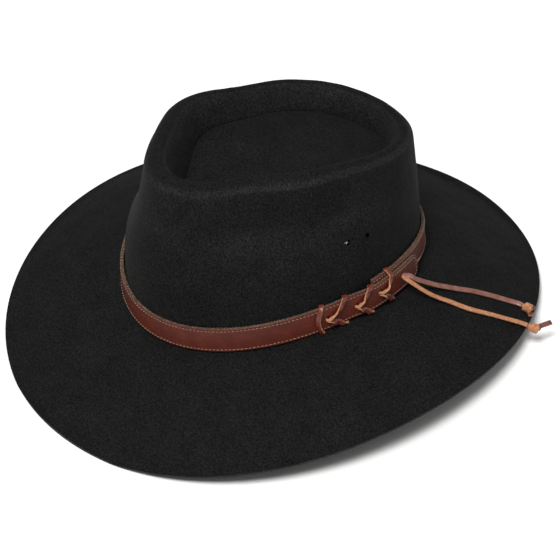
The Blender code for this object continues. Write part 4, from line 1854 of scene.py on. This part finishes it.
SOFTBOXES = (
    Softbox("key_softbox", (-0.35, -1.15, 2.15), 0.9, 62.0),
    Softbox("top_softbox", (-0.1, 1.0, 2.3), 1.5, 10.0),
    Softbox("right_softbox", (1.9, -0.3, 1.2), 1.2, 2.0),
)


@dataclass
class Studio:
    """A camera at the photograph's angle, soft lights, and a plain pale floor."""

    azimuth: float = 53.0927
    elevation: float = 38.1392
    roll: float = -4.8472
    aim_right: float = 0.0041
    aim_up: float = 0.0191
    distance: float = 1.4499
    lens: float = 141.08
    light_aim: float = 0.07
    floor_size: float = 12.0
    floor_drop: float = 0.0002
    floor_colour: str = "#f6f6f5"
    world_colour: str = "#ffffff"
    world_strength: float = 0.34

    def camera_axes(self) -> tuple[Vector, Vector, Vector]:
        """Find the camera's directions from its three angles.

        Returns:
            Its right, its up and its back.
        """
        turn = math.radians(self.azimuth)
        tilt = math.radians(self.elevation)
        lean = math.radians(self.roll)
        back = Vector((math.sin(turn) * math.cos(tilt), -math.cos(turn) * math.cos(tilt), math.sin(tilt)))
        right = Vector((math.cos(turn), math.sin(turn), 0.0))
        up = back.cross(right)
        return (
            right * math.cos(lean) + up * math.sin(lean),
            -right * math.sin(lean) + up * math.cos(lean),
            back,
        )

    def add_camera(self) -> None:
        """Make the camera the scene's own."""
        right, up, back = self.camera_axes()
        turn = math.radians(self.azimuth)
        aim = Vector((self.aim_right * math.cos(turn), self.aim_right * math.sin(turn), self.aim_up))
        data = bpy.data.cameras.new("camera")
        data.lens = self.lens
        data.clip_start = 0.05
        camera = bpy.data.objects.new("camera", data)
        turned_to = Matrix((right, up, back)).transposed().to_4x4()
        camera.matrix_world = Matrix.Translation(aim + back * self.distance) @ turned_to
        bpy.context.scene.collection.objects.link(camera)
        bpy.context.scene.camera = camera

    def add_light(self, softbox: Softbox) -> None:
        """Add a soft square light that looks at the hat.

        Args:
            softbox: its place, size and power.
        """
        turn = math.radians(self.azimuth)
        right = Vector((math.cos(turn), math.sin(turn), 0.0))
        away = Vector((-math.sin(turn), math.cos(turn), 0.0))
        data = bpy.data.lights.new(softbox.name, "AREA")
        data.size = softbox.size
        data.energy = softbox.power
        light = bpy.data.objects.new(softbox.name, data)
        to_right, to_away, height = softbox.place
        light.location = right * to_right + away * to_away + Vector((0.0, 0.0, height))
        target = Vector((0.0, 0.0, self.light_aim))
        light.rotation_euler = (light.location - target).to_track_quat("Z", "Y").to_euler()
        bpy.context.scene.collection.objects.link(light)

    def add_floor(self) -> None:
        """Add the plain floor."""
        half = 0.5 * self.floor_size
        mesh = bpy.data.meshes.new("floor")
        corners = [(-half, -half, 0.0), (half, -half, 0.0), (half, half, 0.0), (-half, half, 0.0)]
        mesh.from_pydata(corners, [], [(0, 1, 2, 3)])
        material = blank_material("painted_board")
        tree = material.node_tree
        shader = add_node(tree, "ShaderNodeBsdfPrincipled", {
            "Base Color": linear(self.floor_colour), "Roughness": 0.95, "Specular IOR Level": 0.1,
        })
        add_node(tree, "ShaderNodeOutputMaterial", {"Surface": shader.outputs[0]})
        mesh.materials.append(material)
        floor = bpy.data.objects.new("floor", mesh)
        floor.location.z = -self.floor_drop
        bpy.context.scene.collection.objects.link(floor)

    def add_world(self) -> None:
        """Light the room evenly from all sides."""
        world = bpy.data.worlds.new("room")
        world.use_nodes = True
        tree = world.node_tree
        tree.nodes.clear()
        light = {"Color": linear(self.world_colour), "Strength": self.world_strength}
        shade = add_node(tree, "ShaderNodeBackground", light)
        add_node(tree, "ShaderNodeOutputWorld", {"Surface": shade.outputs[0]})
        bpy.context.scene.world = world

    def build(self) -> None:
        """Set up the camera, the lights and the floor."""
        bpy.context.scene.view_settings.view_transform = "Standard"
        self.add_camera()
        self.add_world()
        self.add_floor()
        for softbox in SOFTBOXES:
            self.add_light(softbox)


def main() -> None:
    """Build the hat's looks, piece by piece."""
    logging.basicConfig(level=logging.INFO, format="%(message)s")
    Studio().build()
    shape = FeltShape()
    band = HatBand(shape)
    upper = Thong(
        "upper", UPPER_ROUTE, tail=(0.1409, 0.0978, 0.0150), twist=(20.0, 30.0, 38.0, 34.0, 20.0),
        band=band, ribbon=Ribbon(width=0.0032), start_offset=0.00045,
    )
    lower = Thong(
        "lower", LOWER_ROUTE, tail=(0.1549, 0.1020, 0.0155), twist=(172.0, 180.0, 186.0, 180.0, 176.0),
        band=band, ribbon=Ribbon(width=0.0035), start_offset=-0.00045,
    )
    for builder in (upper, lower, FeltBody(shape), band, Lacing(band)):
        for piece in builder.build():
            log.info("%s: %d faces", piece.name, len(piece.data.polygons))


if __name__ == "__main__":
    main()
